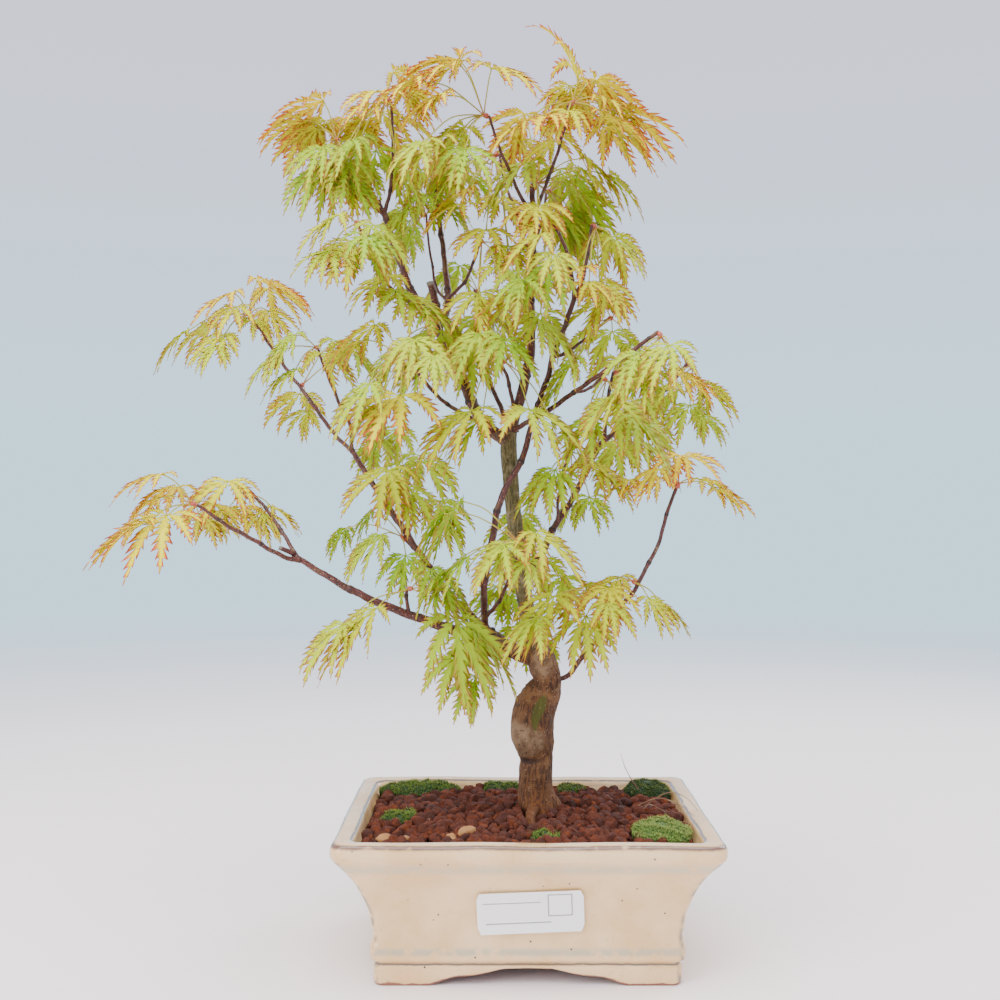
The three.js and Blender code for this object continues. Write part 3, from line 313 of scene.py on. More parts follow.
def ramp(tree, value, low, high, bottom=0.0, top=1.0):
    """Smooth step of a value from bottom at low to top at high."""
    numbers = {0: value, 1: low, 2: high, 3: bottom, 4: top}
    return add(tree, "MapRange", numbers, interpolation_type="SMOOTHSTEP").outputs[0]


def start_material(name, **fixed):
    """A material with its shader's own fixed sockets set. Returns it, its tree and shader."""
    material = bpy.data.materials.new(name)
    material.use_nodes = True
    shader = material.node_tree.nodes["Principled BSDF"]
    for socket, value in fixed.items():
        shader.inputs[socket.replace("_", " ")].default_value = value
    return material, material.node_tree, shader


print("white clay in linear light:", [round(v, 3) for v in linear("#e3cdb0")])

# %% [markdown]
# ## Cream glaze on stoneware
#
# The pot is slip-cast stoneware, dipped in a cream gloss glaze and fired on its bare feet. A
# glaze runs thin over edges, so the brown clay shows there as a broken line, and pools
# greyer in the coves. Iron in the clay burns through as small dark specks. The lines follow
# `run`, the distance along the pot's profile in millimetres, because they follow the edges.

# %% Glaze
GLAZE_LINES = {
    # name: (where it runs, half width in mm, colour, strength, how broken)
    "outer rim edge": ("rim_edge", 2.1, "#5f4036", 0.95, 0.33),
    "inner rim edge": ("inner_edge", 1.2, "#5f5b5c", 0.95, 0.30),
    "pool under the rim": ("cove", 6.0, "#bfae90", 0.7, 0.36),
    "pool above the ridge": ("ridge", 3.0, "#9c9a88", 0.7, 0.40),
    "foot groove": ("groove", 1.0, "#5e554c", 0.9, 0.25),
}


def make_glaze(places):
    """Cream gloss, its lines placed by the profile distances in places."""
    material, tree, shader = start_material(
        "cream_glaze_on_stoneware", Roughness=0.16, IOR=1.5, Coat_Weight=0.35,
        Coat_Roughness=0.05)
    where = add(tree, "TexCoord").outputs["Object"]
    run = attribute(tree, "run")
    corner = attribute(tree, "corner")
    bare = attribute(tree, "bare")
    cloud = noise(tree, where, 28, 3.0)
    fine = noise(tree, where, 2.2, 4.0)
    broken = noise(tree, where, 7, 5.0)
    colour = blend(tree, ramp(tree, cloud, 0.35, 0.65), "#ddb27a", "#e8c493")
    colour = blend(tree, ramp(tree, fine, 0.55, 0.8, 0.0, 0.35), colour, "#c48a4c")
    shift = math(tree, "MULTIPLY_ADD", broken, 1.6, -0.8)
    wavy = math(tree, "ADD", run, shift)
    for place, half, shade, strength, gaps in GLAZE_LINES.values():
        off = math(tree, "SUBTRACT", wavy, places[place])
        off = math(tree, "ABSOLUTE", off)
        line = ramp(tree, off, half * 0.15, half, strength, 0.0)
        holes = ramp(tree, broken, gaps - 0.12, gaps + 0.12)
        line = math(tree, "MULTIPLY", line, holes)
        colour = blend(tree, line, colour, shade)
    thin = math(tree, "MULTIPLY", corner, ramp(tree, broken, 0.42, 0.6))
    colour = blend(tree, thin, colour, "#6e5f57")
    specks, specks_colour = cells(tree, where, 6.5)
    dot = ramp(tree, specks, 0.05, 0.1, 1.0, 0.0)
    chosen = add(tree, "SeparateColor", {0: specks_colour}).outputs[0]
    dot = math(tree, "MULTIPLY", dot, ramp(tree, chosen, 0.6, 0.62))
    colour = blend(tree, dot, colour, "#4d3527")
    edge = math(tree, "ADD", bare, shift)
    clay = ramp(tree, edge, 0.35, 0.6)
    colour = blend(tree, clay, colour, "#8a5641")
    tree.links.new(colour, shader.inputs["Base Color"])
    tree.links.new(ramp(tree, clay, 0.0, 1.0, 0.16, 0.75), shader.inputs["Roughness"])
    emboss(tree, shader, fine, 0.12, 0.2)
    return material


print("glaze lines:", ", ".join(GLAZE_LINES))

# %% [markdown]
# ## The pot
#
# One loop of points, a rectangle with round corners, is carried along a profile: out under the
# foot, up the waisted wall, over the rim and down inside. Turning a profile on a lathe would
# give a round pot, so each profile point says how far the rectangle draws in and how high it
# sits. Arches are cut into the foot by lifting its lower rows.

# %% Pot profile and plan
OUTER_WALL = [
    (20.4, 0.0), (19.8, 1.2), (19.6, 4.0), (19.6, 8.6), (20.3, 9.9), (20.3, 10.9), (18.4, 12.6),
    (17.8, 15.2), (17.7, 18.5), (18.6, 21.6), (19.0, 24.8), (18.4, 28.0), (17.2, 35.4),
    (14.7, 42.8), (10.8, 51.7), (6.0, 58.9), (2.2, 63.6), (0.5, 66.6), (0.0, 69.3),
    (0.3, 71.6), (1.1, 73.2), (2.4, 73.9),
]
RIM_AND_INSIDE = [
    (5.5, 74.0), (8.2, 73.7), (9.8, 72.9), (10.6, 71.4), (11.0, 69.5), (13.0, 64.0),
    (15.0, 57.7), (18.3, 49.0), (21.5, 41.4), (25.5, 28.1), (26.3, 18.0), (28.0, 15.2),
]
FOOT_RECESS = 7.0
UNDERSIDE = [(36.0, FOOT_RECESS), (33.6, 6.6), (33.2, 1.2), (32.4, 0.1), (26.0, 0.0), (21.4, 0.0)]
FRONT_ARCH_HALF = 46.0
SIDE_ARCH_HALF = 27.0
ARCH_LINE = [
    (0.0, 8.6), (0.26, 8.3), (0.42, 6.4), (0.56, 4.9), (0.8, 4.0), (0.95, 1.6), (1.05, 0.0),
]
ARCH_FADES_AT = 10.0
INNER_ARCH_MOST = 5.6
DRAIN_RADIUS = 8.0
DRAIN_SPACING = 76.0


def plan_loop(per_long, per_short, per_corner):
    """A rectangle with round corners as two arrays: `core`, the point on a unit square that is
    scaled to the straight part, and `out`, the direction in which the corner radius is added.
    It runs counterclockwise from the front left corner."""
    core, out = [], []
    corners = np.array([(-1, -1), (1, -1), (1, 1), (-1, 1)], float)
    for side, count in enumerate([per_long, per_short, per_long, per_short]):
        share = np.arange(count)[:, None] / count
        facing = side * np.pi / 2 - np.pi / 2
        core.append(corners[side] * (1 - share) + corners[(side + 1) % 4] * share)
        out.append(np.tile([np.cos(facing), np.sin(facing)], (count, 1)))
        turn = facing + np.arange(per_corner) / per_corner * np.pi / 2
        core.append(np.tile(corners[(side + 1) % 4], (per_corner, 1)))
        out.append(np.stack([np.cos(turn), np.sin(turn)], axis=-1))
    return np.vstack(core), np.vstack(out)


def carry_plan(profile, corner_radius, loop):
    """Points of the plan at each profile row: core x (half size - inset - radius) + out x
    radius, at the row's height."""
    core, out = loop
    inset, height = profile[:, 0], profile[:, 1]
    radius = np.broadcast_to(np.asarray(corner_radius, float), inset.shape)[:, None, None]
    half = (RIM_HALF[None, :] - inset[:, None])[:, None, :]
    flat = core * (half - radius) + out * radius
    return np.concatenate([flat, np.broadcast_to(height[:, None, None], (*flat.shape[:2], 1))], 2)


pot_loop = plan_loop(96, 64, 10)
print("points round the pot:", len(pot_loop[0]))

# %% Pot skin
def make_pot():
    """The pot's closed skin with its arches and handmade unevenness; the drain holes are bored
    later.
    """
    outer = smooth_path(OUTER_WALL, 1.0)
    inside = smooth_path([OUTER_WALL[-1]] + RIM_AND_INSIDE, 1.6)[1:]
    below = np.array(UNDERSIDE)
    middle_below = np.array([(60.0, FOOT_RECESS), (48.0, FOOT_RECESS)])
    middle_inside = np.array([(34.0, 15.0), (48.0, 15.0), (60.0, 15.0)])
    profile = np.vstack([middle_below, below, outer, inside, middle_inside])
    first_outer = len(middle_below) + len(below)
    steps = np.linalg.norm(np.diff(profile, axis=0), axis=1)
    run = np.concatenate([[0.0], np.cumsum(steps)])
    run -= run[first_outer]
    radius = np.where(profile[:, 0] > 30, 3.0, 7.0 - 0.12 * profile[:, 0])
    inner_rows = len(inside) + len(middle_inside)
    radius[first_outer + len(outer):] = np.linspace(6.4, 8.0, inner_rows)
    points = carry_plan(profile, radius, pot_loop)
    x, y, z = points[..., 0], points[..., 1], points[..., 2]
    shares, heights = zip(*ARCH_LINE)
    arch = np.maximum(np.interp(np.abs(x) / FRONT_ARCH_HALF, shares, heights),
                      np.interp(np.abs(y) / SIDE_ARCH_HALF, shares, heights))
    row = np.arange(len(profile))[:, None]
    arch = np.where(row < first_outer - 2, np.minimum(arch, INNER_ARCH_MOST), arch)
    on_foot = (row >= len(middle_below) + 2) & (row < first_outer + len(outer))
    lifted = np.where(z < ARCH_FADES_AT, arch + z * (1 - arch / ARCH_FADES_AT), z)
    inner_lift = np.where(z < FOOT_RECESS, arch + z * (1 - arch / FOOT_RECESS), z)
    lifted = np.where(row < first_outer - 2, inner_lift, lifted)
    points[..., 2] = np.where(on_foot, lifted, z)
    outward = np.concatenate([pot_loop[1], np.zeros((len(pot_loop[1]), 1))], 1)
    uneven = 0.35 * (lumps(points, 60, 3) - 1) + 0.12 * (lumps(points, 14, 4) - 1)
    shown = bell(profile[:, 1], 60, 45)[:, None] * ((row >= first_outer) * 1.0)
    points += outward[None] * (uneven * shown)[..., None]
    rim_row = (profile[:, 1] > 66)[:, None]
    points[..., 2] += rim_row * 0.35 * (lumps(points * [1, 1, 0], 70, 5) - 1)
    corner = np.minimum(np.abs(pot_loop[1][:, 0]), np.abs(pot_loop[1][:, 1]))
    corner = bell(corner, 0.7, 0.28)[None, :] * ((row > first_outer) & (profile[:, 1:2] < 66))
    bare = bell(run, 0.0, 1.6)[:, None] * np.ones(len(pot_loop[0]))
    bare = np.maximum(bare, (row < first_outer) * 1.0)
    piece_skin = skin(points, run=run[:, None], corner=0.8 * corner, bare=bare)

    def run_at(height, rows):
        return float(run[rows][np.argmin(np.abs(profile[rows, 1] - height))])

    wall = slice(first_outer, first_outer + len(outer))
    within = slice(first_outer + len(outer), len(profile))
    places = {
        "groove": run_at(10.4, wall), "ridge": run_at(17.0, wall), "cove": run_at(61.0, wall),
        "rim_edge": run_at(73.2, wall), "inner_edge": run_at(73.2, within),
    }
    return piece_skin, places


pot_skin, glaze_places = make_pot()
pot_piece = put_piece("glazed_pot", [(make_glaze(glaze_places), [pot_skin])])
print("profile distances in mm:", {k: round(v, 1) for k, v in glaze_places.items()})

# %% [markdown]
# The two drain holes are bored through the floor. A boolean cut suits them, since they cross
# the grid of the skin, and the result is written back as the mesh.

# %% Bore the drain holes
def bore(piece, spots, radius, low, high):
    """Cuts a round hole at each spot, from low to high, with a boolean against plain rods."""
    angle = np.arange(48) * 2 * np.pi / 48
    circle = np.stack([np.cos(angle), np.sin(angle), 0 * angle], axis=-1) * radius
    rods = []
    for x, y in spots:
        rods.append(skin(np.stack([circle + [x, y, low], circle + [x, y, high]])))
    cutter = put_piece("cutter", [(piece.data.materials[0], rods)])
    cut = piece.modifiers.new("bore", "BOOLEAN")
    cut.operation = "DIFFERENCE"
    cut.solver = "MANIFOLD"
    cut.object = cutter
    graph = bpy.context.evaluated_depsgraph_get()
    cut_mesh = bpy.data.meshes.new_from_object(piece.evaluated_get(graph))
    piece.modifiers.clear()
    piece.data = cut_mesh
    bpy.data.objects.remove(cutter)


faces_before = len(pot_piece.data.polygons)
bore(pot_piece, [(-DRAIN_SPACING / 2, 0), (DRAIN_SPACING / 2, 0)], DRAIN_RADIUS, -5, 40)
pot_piece.data.name = "glazed_pot"
settle(pot_piece, "pot_glaze", "pot")
print("faces before and after the bore:", faces_before, len(pot_piece.data.polygons))

# %% [markdown]
# ## Paper label and drain meshes
#
# The price sticker is satin paper, left without print except a ruled frame and two ruled
# lines. The drain meshes are moulded black plastic. Both solids are already the right shape,
# so they keep it and only get their finish.

# %% Label paper
LABEL_TILT = np.radians(2.5)
# Ruled lines: middle across and up, half length and half width, all in mm.
RULED_LINES = [(-9, 5.2, 14, 0.25), (-6, -5.6, 16, 0.3)]
# Ruled frame: a larger square less a smaller one, as half sizes in mm.
FRAME_MIDDLE = (14.5, 3.4)
FRAME_HALVES = [(6.0, 1), (5.4, -1)]
label_low, label_high = (np.array(corner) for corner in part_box("blank_label"))
label_middle = (label_low + label_high) / 2


def make_label_paper():
    """White satin paper with fine ruled lines, placed from the label's own middle."""
    material, tree, shader = start_material("satin_label_paper", Roughness=0.45, IOR=1.45)
    where = add(tree, "TexCoord").outputs["Object"]
    turned = add(tree, "Mapping", {"Vector": where, "Location": tuple(label_middle),
                                   "Rotation": (0.0, -LABEL_TILT, 0.0)}, vector_type="TEXTURE")
    parts = add(tree, "SeparateXYZ", {0: turned.outputs[0]})
    across, up = parts.outputs["X"], parts.outputs["Z"]
    fibre = noise(tree, where, 0.6, 3.0)
    colour = blend(tree, fibre, "#ece9ea", "#fbf9f8")

    def bar(middle_x, middle_z, half_x, half_z):
        """1 inside an upright rectangle on the label, 0 outside it."""
        return math(tree, "MULTIPLY",
                    math(tree, "COMPARE", across, middle_x * MM, half_x * MM),
                    math(tree, "COMPARE", up, middle_z * MM, half_z * MM))

    ink = math(tree, "ADD", *(bar(*line) for line in RULED_LINES))
    for half, sign in FRAME_HALVES:
        ink = math(tree, "MULTIPLY_ADD", bar(*FRAME_MIDDLE, half, half), sign, ink)
    colour = blend(tree, ramp(tree, ink, 0.0, 1.0, 0.0, 0.75), colour, "#3a3a3e")
    tree.links.new(colour, shader.inputs["Base Color"])
    return material


def finish_node(node, material):
    """Gives a CAD node's object its material."""
    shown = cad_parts[node]
    if not shown.material_slots:
        shown.data.materials.append(material)
    for slot in shown.material_slots:
        slot.material = material


finish_node("blank_label", make_label_paper())
print("label middle", label_middle.round(4))

# %% Drain mesh plastic
def make_mesh_plastic():
    """Black polypropylene with a fine moulded grain."""
    material, tree, shader = start_material("moulded_black_plastic", Roughness=0.5, IOR=1.49)
    where = add(tree, "TexCoord").outputs["Object"]
    grain = noise(tree, where, 0.8, 4.0)
    colour = blend(tree, grain, "#17181a", "#2b2c2f")
    tree.links.new(colour, shader.inputs["Base Color"])
    emboss(tree, shader, grain, 0.3, 0.1)
    return material


drain_plastic = make_mesh_plastic()
for side in ("left", "right"):
    finish_node(f"drain_mesh_{side}", drain_plastic)
print("drain meshes finished")

# %% [markdown]
# ## What lies on the soil
#
# Moss cushions are placed first, since the grains leave them bare.

# %% Places of the moss cushions
MOSS_PATCHES = [
    # name, x, y, half length, half width, height, finish
    ("moss_back_left", -59, 50, 22, 9, 5.5, "moss_green"),
    ("moss_back_centre", -12, 53, 13, 7, 4.5, "moss_green"),
    ("moss_behind_trunk", 27, 50, 9, 8, 4, "moss_green"),
    ("moss_back_right", 70, 46, 13, 14, 7, "moss_dark"),
    ("moss_front_right", 68, -34, 15, 18, 4.5, "moss_pale"),
    ("moss_left", -66, -8, 10, 9, 3.5, "moss_green"),
    ("moss_front", 8, -46, 9, 6, 3, "moss_green"),
]
print("moss cushions:", len(MOSS_PATCHES))

# %% [markdown]
# ## Clay grains
#
# The tree grows in fired clay grains of 4 to 7 mm, dark red-brown and damp. A flat bumpy
# surface would look like a carpet, so each grain is its own lump: one ball of 80 faces is
# stretched and dented differently for every grain, all in one array.

# %% A ball to press grains from
def ball(divisions):
    """An icosahedron whose faces are split in four, `divisions` times, with every new point
    pushed out to the unit sphere. Returns points and triangles."""
    golden = (1 + 5**0.5) / 2
    points = unit(np.array([
        (-1, golden, 0), (1, golden, 0), (-1, -golden, 0), (1, -golden, 0),
        (0, -1, golden), (0, 1, golden), (0, -1, -golden), (0, 1, -golden),
        (golden, 0, -1), (golden, 0, 1), (-golden, 0, -1), (-golden, 0, 1)], float))
    faces = np.array([
        (0, 11, 5), (0, 5, 1), (0, 1, 7), (0, 7, 10), (0, 10, 11), (1, 5, 9), (5, 11, 4),
        (11, 10, 2), (10, 7, 6), (7, 1, 8), (3, 9, 4), (3, 4, 2), (3, 2, 6), (3, 6, 8),
        (3, 8, 9), (4, 9, 5), (2, 4, 11), (6, 2, 10), (8, 6, 7), (9, 8, 1)])
    for _ in range(divisions):
        edges = np.sort(np.concatenate([faces[:, [0, 1]], faces[:, [1, 2]], faces[:, [2, 0]]]), 1)
        pairs, place = np.unique(edges, axis=0, return_inverse=True)
        ab, bc, ca = np.split(place.reshape(-1) + len(points), 3)
        points = np.vstack([points, unit(points[pairs].mean(1))])
        a, b, c = faces.T
        faces = np.vstack([np.stack(three, -1)
                           for three in [(a, ab, ca), (ab, b, bc), (ca, bc, c), (ab, bc, ca)]])
    return points, faces


def scatter_lumps(centres, sizes, seed, divisions=1, dent=0.06, **values):
    """A ball at every centre: stretched by its sizes, turned about Z, dented by sine waves and
    cut flat by seven planes that differ from ball to ball. values are numbers per ball."""
    draw = np.random.default_rng(seed)
    shape, faces = ball(divisions)
    count = len(centres)
    waves = draw.normal(size=(count, 3, 4)) * 2.4
    phase = draw.uniform(0, 2 * np.pi, (count, 1, 4))
    dents = 1 + dent * np.sin(shape @ waves + phase).sum(-1)
    planes = unit(draw.normal(size=(count, 7, 3)))
    toward = np.einsum("vk,cpk->cvp", shape, planes)
    cut = draw.uniform(0.55, 0.85, (count, 1, 7)) / np.maximum(toward, 0.3)
    dents = np.minimum(dents, cut.min(-1)) * 1.12
    turn = draw.uniform(0, 2 * np.pi, count)
    spin = np.zeros((count, 3, 3))
    spin[:, 0, 0] = spin[:, 1, 1] = np.cos(turn)
    spin[:, 0, 1], spin[:, 1, 0] = np.sin(turn), -np.sin(turn)
    spin[:, 2, 2] = 1
    points = (shape[None] * dents[..., None] * sizes[:, None]) @ spin + centres[:, None]
    fans = (faces[None] + (np.arange(count) * len(shape))[:, None, None]).reshape(-1, 3)
    kept = {name: np.repeat(value, len(shape)) for name, value in values.items()}
    return loose_triangles(points.reshape(-1, 3), fans, **kept)


print("ball of one division:", [len(part) for part in ball(1)])

# %% Damp clay finish
def make_clay(name, dark, mid, light, roughness):
    """Rough fired clay: `tone` picks each grain's shade, noise gives it pores and dust."""
    material, tree, shader = start_material(name, IOR=1.45)
    where = add(tree, "TexCoord").outputs["Object"]
    tone = attribute(tree, "tone")
    pores = noise(tree, where, 1.1, 6.0, Roughness=0.7)
    dust = noise(tree, where, 4.5, 3.0)
    colour = blend(tree, ramp(tree, tone, -0.6, 0.9), dark, mid)
    colour = blend(tree, ramp(tree, dust, 0.5, 0.72, 0.0, 0.75), colour, light)
    colour = blend(tree, ramp(tree, pores, 0.3, 0.46, 0.75, 0.0), colour, dark)
    tree.links.new(colour, shader.inputs["Base Color"])
    tree.links.new(ramp(tree, dust, 0.3, 0.7, roughness - 0.12, roughness + 0.1),
                   shader.inputs["Roughness"])
    emboss(tree, shader, pores, 0.7, 0.6)
    return material


clay_red = make_clay("damp_red_clay_grains", "#210b04", "#52210c", "#7a3c1b", 0.92)
print("finish:", clay_red.name)

# %% Soil block and its grains
MOUND_HEIGHT = 2.5
WALL_GAP = 0.5
TRUNK_FOOT = (9.0, 5.0)
TRUNK_FOOT_RADIUS = 12.0
# Circles along the exposed root that stay clear of grains: x, y, radius.
ALONG_THE_ROOT = [(2, -6, 6.0), (2, -14, 5.5), (3, -22, 5.0), (4, -29, 4.0)]
GRAIN_SORTS = [
    # spacing, least and greatest half size, height above the soil surface, seed
    (6.1, 2.7, 4.1, 0.4, 21),
    (4.4, 1.3, 2.2, -0.3, 22),
]


def soil_top(x, y):
    """Height of the mounded soil: highest in the middle, lower at the wall."""
    return SOIL_LEVEL + MOUND_HEIGHT * (1 - 2 * ((x / RIM_HALF[0]) ** 2 + (y / RIM_HALF[1]) ** 2))


def make_soil_block():
    """The soil under the grains, shaped to the pot's inside with a bumpy top."""
    walls = np.array([(60, 15.4), (40, 15.4), (28.6, 15.5), (26.9, 18.0), (26.1, 28.1),
                      (22.1, 41.4), (18.9, 49.0), (15.6, 57.7), (13.6, 64.0), (12.2, 67.2)])
    top_rows = np.array([(13.5, 68.0)] + [(inset, 68.0) for inset in np.arange(16, 68, 3.0)])
    profile = np.vstack([walls, top_rows]) + [WALL_GAP, 0.0]
    points = carry_plan(profile, 4.0, pot_loop)
    x, y = points[..., 0], points[..., 1]
    on_top = np.arange(len(profile))[:, None] >= len(walls)
    rough = soil_top(x, y) - 1.8 + 0.8 * lumps(points, 9, 11)
    points[..., 2] = np.where(on_top, rough, points[..., 2])
    return skin(points, tone=0.0)


def grain_places(spacing, seed, keep_out):
    """Places on a staggered grid, shifted at random, inside the pot and outside keep_out,
    a list of (x, y, radius)."""
    draw = np.random.default_rng(seed)
    half = RIM_HALF - 14.0
    x, y = np.meshgrid(np.arange(-half[0], half[0], spacing),
                       np.arange(-half[1], half[1], spacing * 0.87))
    x = x + (np.arange(x.shape[0]) % 2)[:, None] * spacing / 2
    spots = np.stack([x.ravel(), y.ravel()], -1)
    spots += draw.uniform(-0.36, 0.36, spots.shape) * spacing
    clear = np.all(np.abs(spots) < half - 0.5, axis=1)
    for hole_x, hole_y, hole in keep_out:
        clear &= np.hypot(spots[:, 0] - hole_x, spots[:, 1] - hole_y) > hole
    return spots[clear]


def make_grains():
    """Small grains between large ones, heaped a little unevenly."""
    made = []
    keep_out = [(*TRUNK_FOOT, TRUNK_FOOT_RADIUS), *ALONG_THE_ROOT]
    for _, x, y, half_x, half_y, *_ in MOSS_PATCHES:
        narrow = min(half_x, half_y)
        keep_out += [(x, y, 0.75 * narrow), (x - half_x / 2, y, 0.6 * narrow),
                     (x + half_x / 2, y, 0.6 * narrow)]
    for spacing, low, high, lift, seed in GRAIN_SORTS:
        spots = grain_places(spacing, seed, keep_out)
        draw = np.random.default_rng(seed + 100)
        sizes = draw.uniform(low, high, (len(spots), 1)) * draw.uniform(0.78, 1.2, (len(spots), 3))
        heap = lumps(np.column_stack([spots, np.zeros(len(spots))]), 34, 23)
        z = soil_top(*spots.T) + lift + 0.7 * heap + draw.uniform(-0.9, 0.9, len(spots))
        centres = np.column_stack([spots, z])
        made.append(scatter_lumps(centres, sizes, seed + 200, tone=draw.uniform(0, 1, len(spots))))
    return made


soil_piece = put_piece("clay_grain_soil", [(clay_red, [make_soil_block(), *make_grains()])])
# Fired clay breaks with flat faces, so only the block's own quads are shaded smooth.
is_block = np.array([len(face.vertices) == 4 for face in soil_piece.data.polygons])
soil_piece.data.polygons.foreach_set("use_smooth", is_block)
settle(soil_piece, "soil_grains", "soil")

# %% [markdown]
# ## Moss
#
# Moss grows as low cushions of upright shoots. A cushion alone looks like felt, so each one is
# a lumpy dome set with several hundred tiny leaning blades, which give it its soft outline.

# %% Moss finish
def make_moss(name, deep, green, tip):
    """Living moss: painted shade between the shoots, bright at their tips, a little light let
    through.
    """
    material, tree, shader = start_material(name, Roughness=0.6, Subsurface_Weight=0.15,
                                            Subsurface_Scale=0.001)
    where = add(tree, "TexCoord").outputs["Object"]
    high = attribute(tree, "tip")
    patch = noise(tree, where, 5, 4.0)
    shoots, _ = cells(tree, where, 0.9)
    colour = blend(tree, patch, deep, green)
    # Painted shade: the gaps between the shoots are darkened towards the deep colour.
    colour = blend(tree, ramp(tree, shoots, 0.1, 0.6, 0.0, 0.8), colour, deep)
    colour = blend(tree, ramp(tree, high, 0.25, 1.0, 0.0, 0.85), colour, tip)
    tree.links.new(colour, shader.inputs["Base Color"])
    emboss(tree, shader, shoots, 0.8, 0.8, invert=True)
    return material


MOSS_FINISHES = {
    "moss_green": make_moss("living_moss", "#162c06", "#447212", "#84ab26"),
    "moss_dark": make_moss("shaded_moss", "#0d1e05", "#28500c", "#5a881c"),
    "moss_pale": make_moss("pale_moss", "#33540f", "#6c9422", "#a9c25a"),
}
print("moss finishes:", ", ".join(MOSS_FINISHES))

# %% Moss cushions
def make_cushion(x, y, half_x, half_y, height, seed):
    """A dome: the radius shrinks to the pole as the cosine of a quarter turn while the height
    rises as its sine. Its rim is wavy, and lumps push it in and out."""
    lift = np.concatenate([[-0.5], np.linspace(0, 1, 14)])[:, None] * np.pi / 2
    angle = (np.arange(40) * 2 * np.pi / 40)[None, :]
    wave = 1 + 0.1 * np.sin(3 * angle + seed) + 0.07 * np.sin(5 * angle + 2 * seed)
    reach = np.maximum(np.cos(np.maximum(lift, 0)), 0.04) ** 0.7 * wave
    px = x + half_x * reach * np.cos(angle)
    py = y + half_y * reach * np.sin(angle)
    pz = SOIL_LEVEL + 0.2 + height * np.where(lift > 0, np.sin(lift), lift)
    pz = np.broadcast_to(pz, px.shape)
    points = np.stack([px, py, pz], -1)
    raised = np.clip(lift * 2, 0, 1)
    points[..., 2] += (0.9 * lumps(points, 6, seed) + 0.4 * lumps(points, 2.5, seed + 1)) * raised
    edge = RIM_HALF - 12.6
    points[..., 0] = np.clip(points[..., 0], -edge[0], edge[0])
    points[..., 1] = np.clip(points[..., 1], -edge[1], edge[1])
    return points


def make_blades(cushion, count, seed):
    """Three-sided blades standing on random points of the upper cushion, leaning at random."""
    draw = np.random.default_rng(seed)
    rows = draw.integers(2, cushion.shape[0] - 1, count)
    columns = draw.integers(0, cushion.shape[1], count)
    share = draw.uniform(0, 1, (count, 1))
    foot = cushion[rows, columns] * share + cushion[rows - 1, (columns + 1) % 40] * (1 - share)
    lean = draw.normal(size=(count, 3)) * 0.4
    lean[:, 2] = 1
    length = draw.uniform(1.1, 2.3, (count, 1))
    angle = np.arange(3) * 2 * np.pi / 3 + draw.uniform(0, 2, (count, 1))
    ring = np.stack([np.cos(angle), np.sin(angle), 0 * angle], -1) * 0.28
    peak = foot + unit(lean) * length
    points = np.concatenate([foot[:, None] + ring, peak[:, None]], 1)
    shape = np.array([(0, 2, 1), (0, 1, 3), (1, 2, 3), (2, 0, 3)])
    fans = (shape[None] + (np.arange(count) * 4)[:, None, None]).reshape(-1, 3)
    tip = np.tile([0.15, 0.15, 0.15, 1.0], count)
    return loose_triangles(points.reshape(-1, 3), fans, tip=tip)


for number, (node, x, y, half_x, half_y, height, finish) in enumerate(MOSS_PATCHES):
    cushion = make_cushion(x, y, half_x, half_y, height, number + 31)
    blades = make_blades(cushion, int(9 * half_x * half_y), number + 61)
    patch = put_piece(f"{node}_cushion",
                      [(MOSS_FINISHES[finish], [skin(cushion, tip=0.0), blades])])
    settle(patch, finish, node)

# %% [markdown]
# ## Stones, a bark chip and dead rootlets
#
# A few buff stones and a flake of bark lie on the grains, and some dry rootlets stick up near
# the right rear corner. Stones are finer balls than the grains, since each one is seen alone.

# %% Loose pieces
LOOSE_PIECES = [
    # name, x, y, half length, half width, half height, turn in degrees
    ("pebble_left_front", -71, -45, 4.2, 3.4, 2.8, 20),
    ("pebble_left_middle", -61, -47, 3.4, 2.8, 2.4, 70),
    ("pebble_centre_small", -38, -47, 3.0, 2.6, 2.2, 130),
    ("pebble_centre_large", -30, -42, 4.8, 3.8, 3.2, 40),
    ("bark_chip", 72, -10, 6.5, 2.6, 1.5, -25),
]
SUNK_SHARE = 0.35
STONE_TONE = 0.8
pebble_buff = make_clay("weathered_buff_stone", "#6e4520", "#a06f3c", "#bd8f5a", 0.6)
chip_bark = make_clay("dry_bark_flake", "#452009", "#84461a", "#aa6a30", 0.7)


def make_stone(x, y, half_sizes, turn, seed):
    """A ball stretched to its half sizes, turned in plan, faceted by a few broad dents."""
    shape, faces = ball(3)
    broad = 1 + 0.16 * lumps(shape, 2.2, seed) + 0.05 * lumps(shape, 0.8, seed + 1)
    points = shape * broad[:, None] * half_sizes
    c, s = np.cos(np.radians(turn)), np.sin(np.radians(turn))
    points = points @ np.array([(c, s, 0), (-s, c, 0), (0, 0, 1)])
    middle = [x, y, soil_top(x, y) + SUNK_SHARE * half_sizes[2] + 1.2]
    return loose_triangles(points + middle, faces, tone=np.full(len(points), STONE_TONE))


for number, (node, x, y, a, b, c, turn) in enumerate(LOOSE_PIECES):
    stone = make_stone(x, y, np.array([a, b, c]), turn, number + 81)
    is_bark = node == "bark_chip"
    piece = put_piece(f"{node}_shape", [(chip_bark if is_bark else pebble_buff, [stone])])
    settle(piece, "bark_chip_wood" if is_bark else "pebble_stone", node)

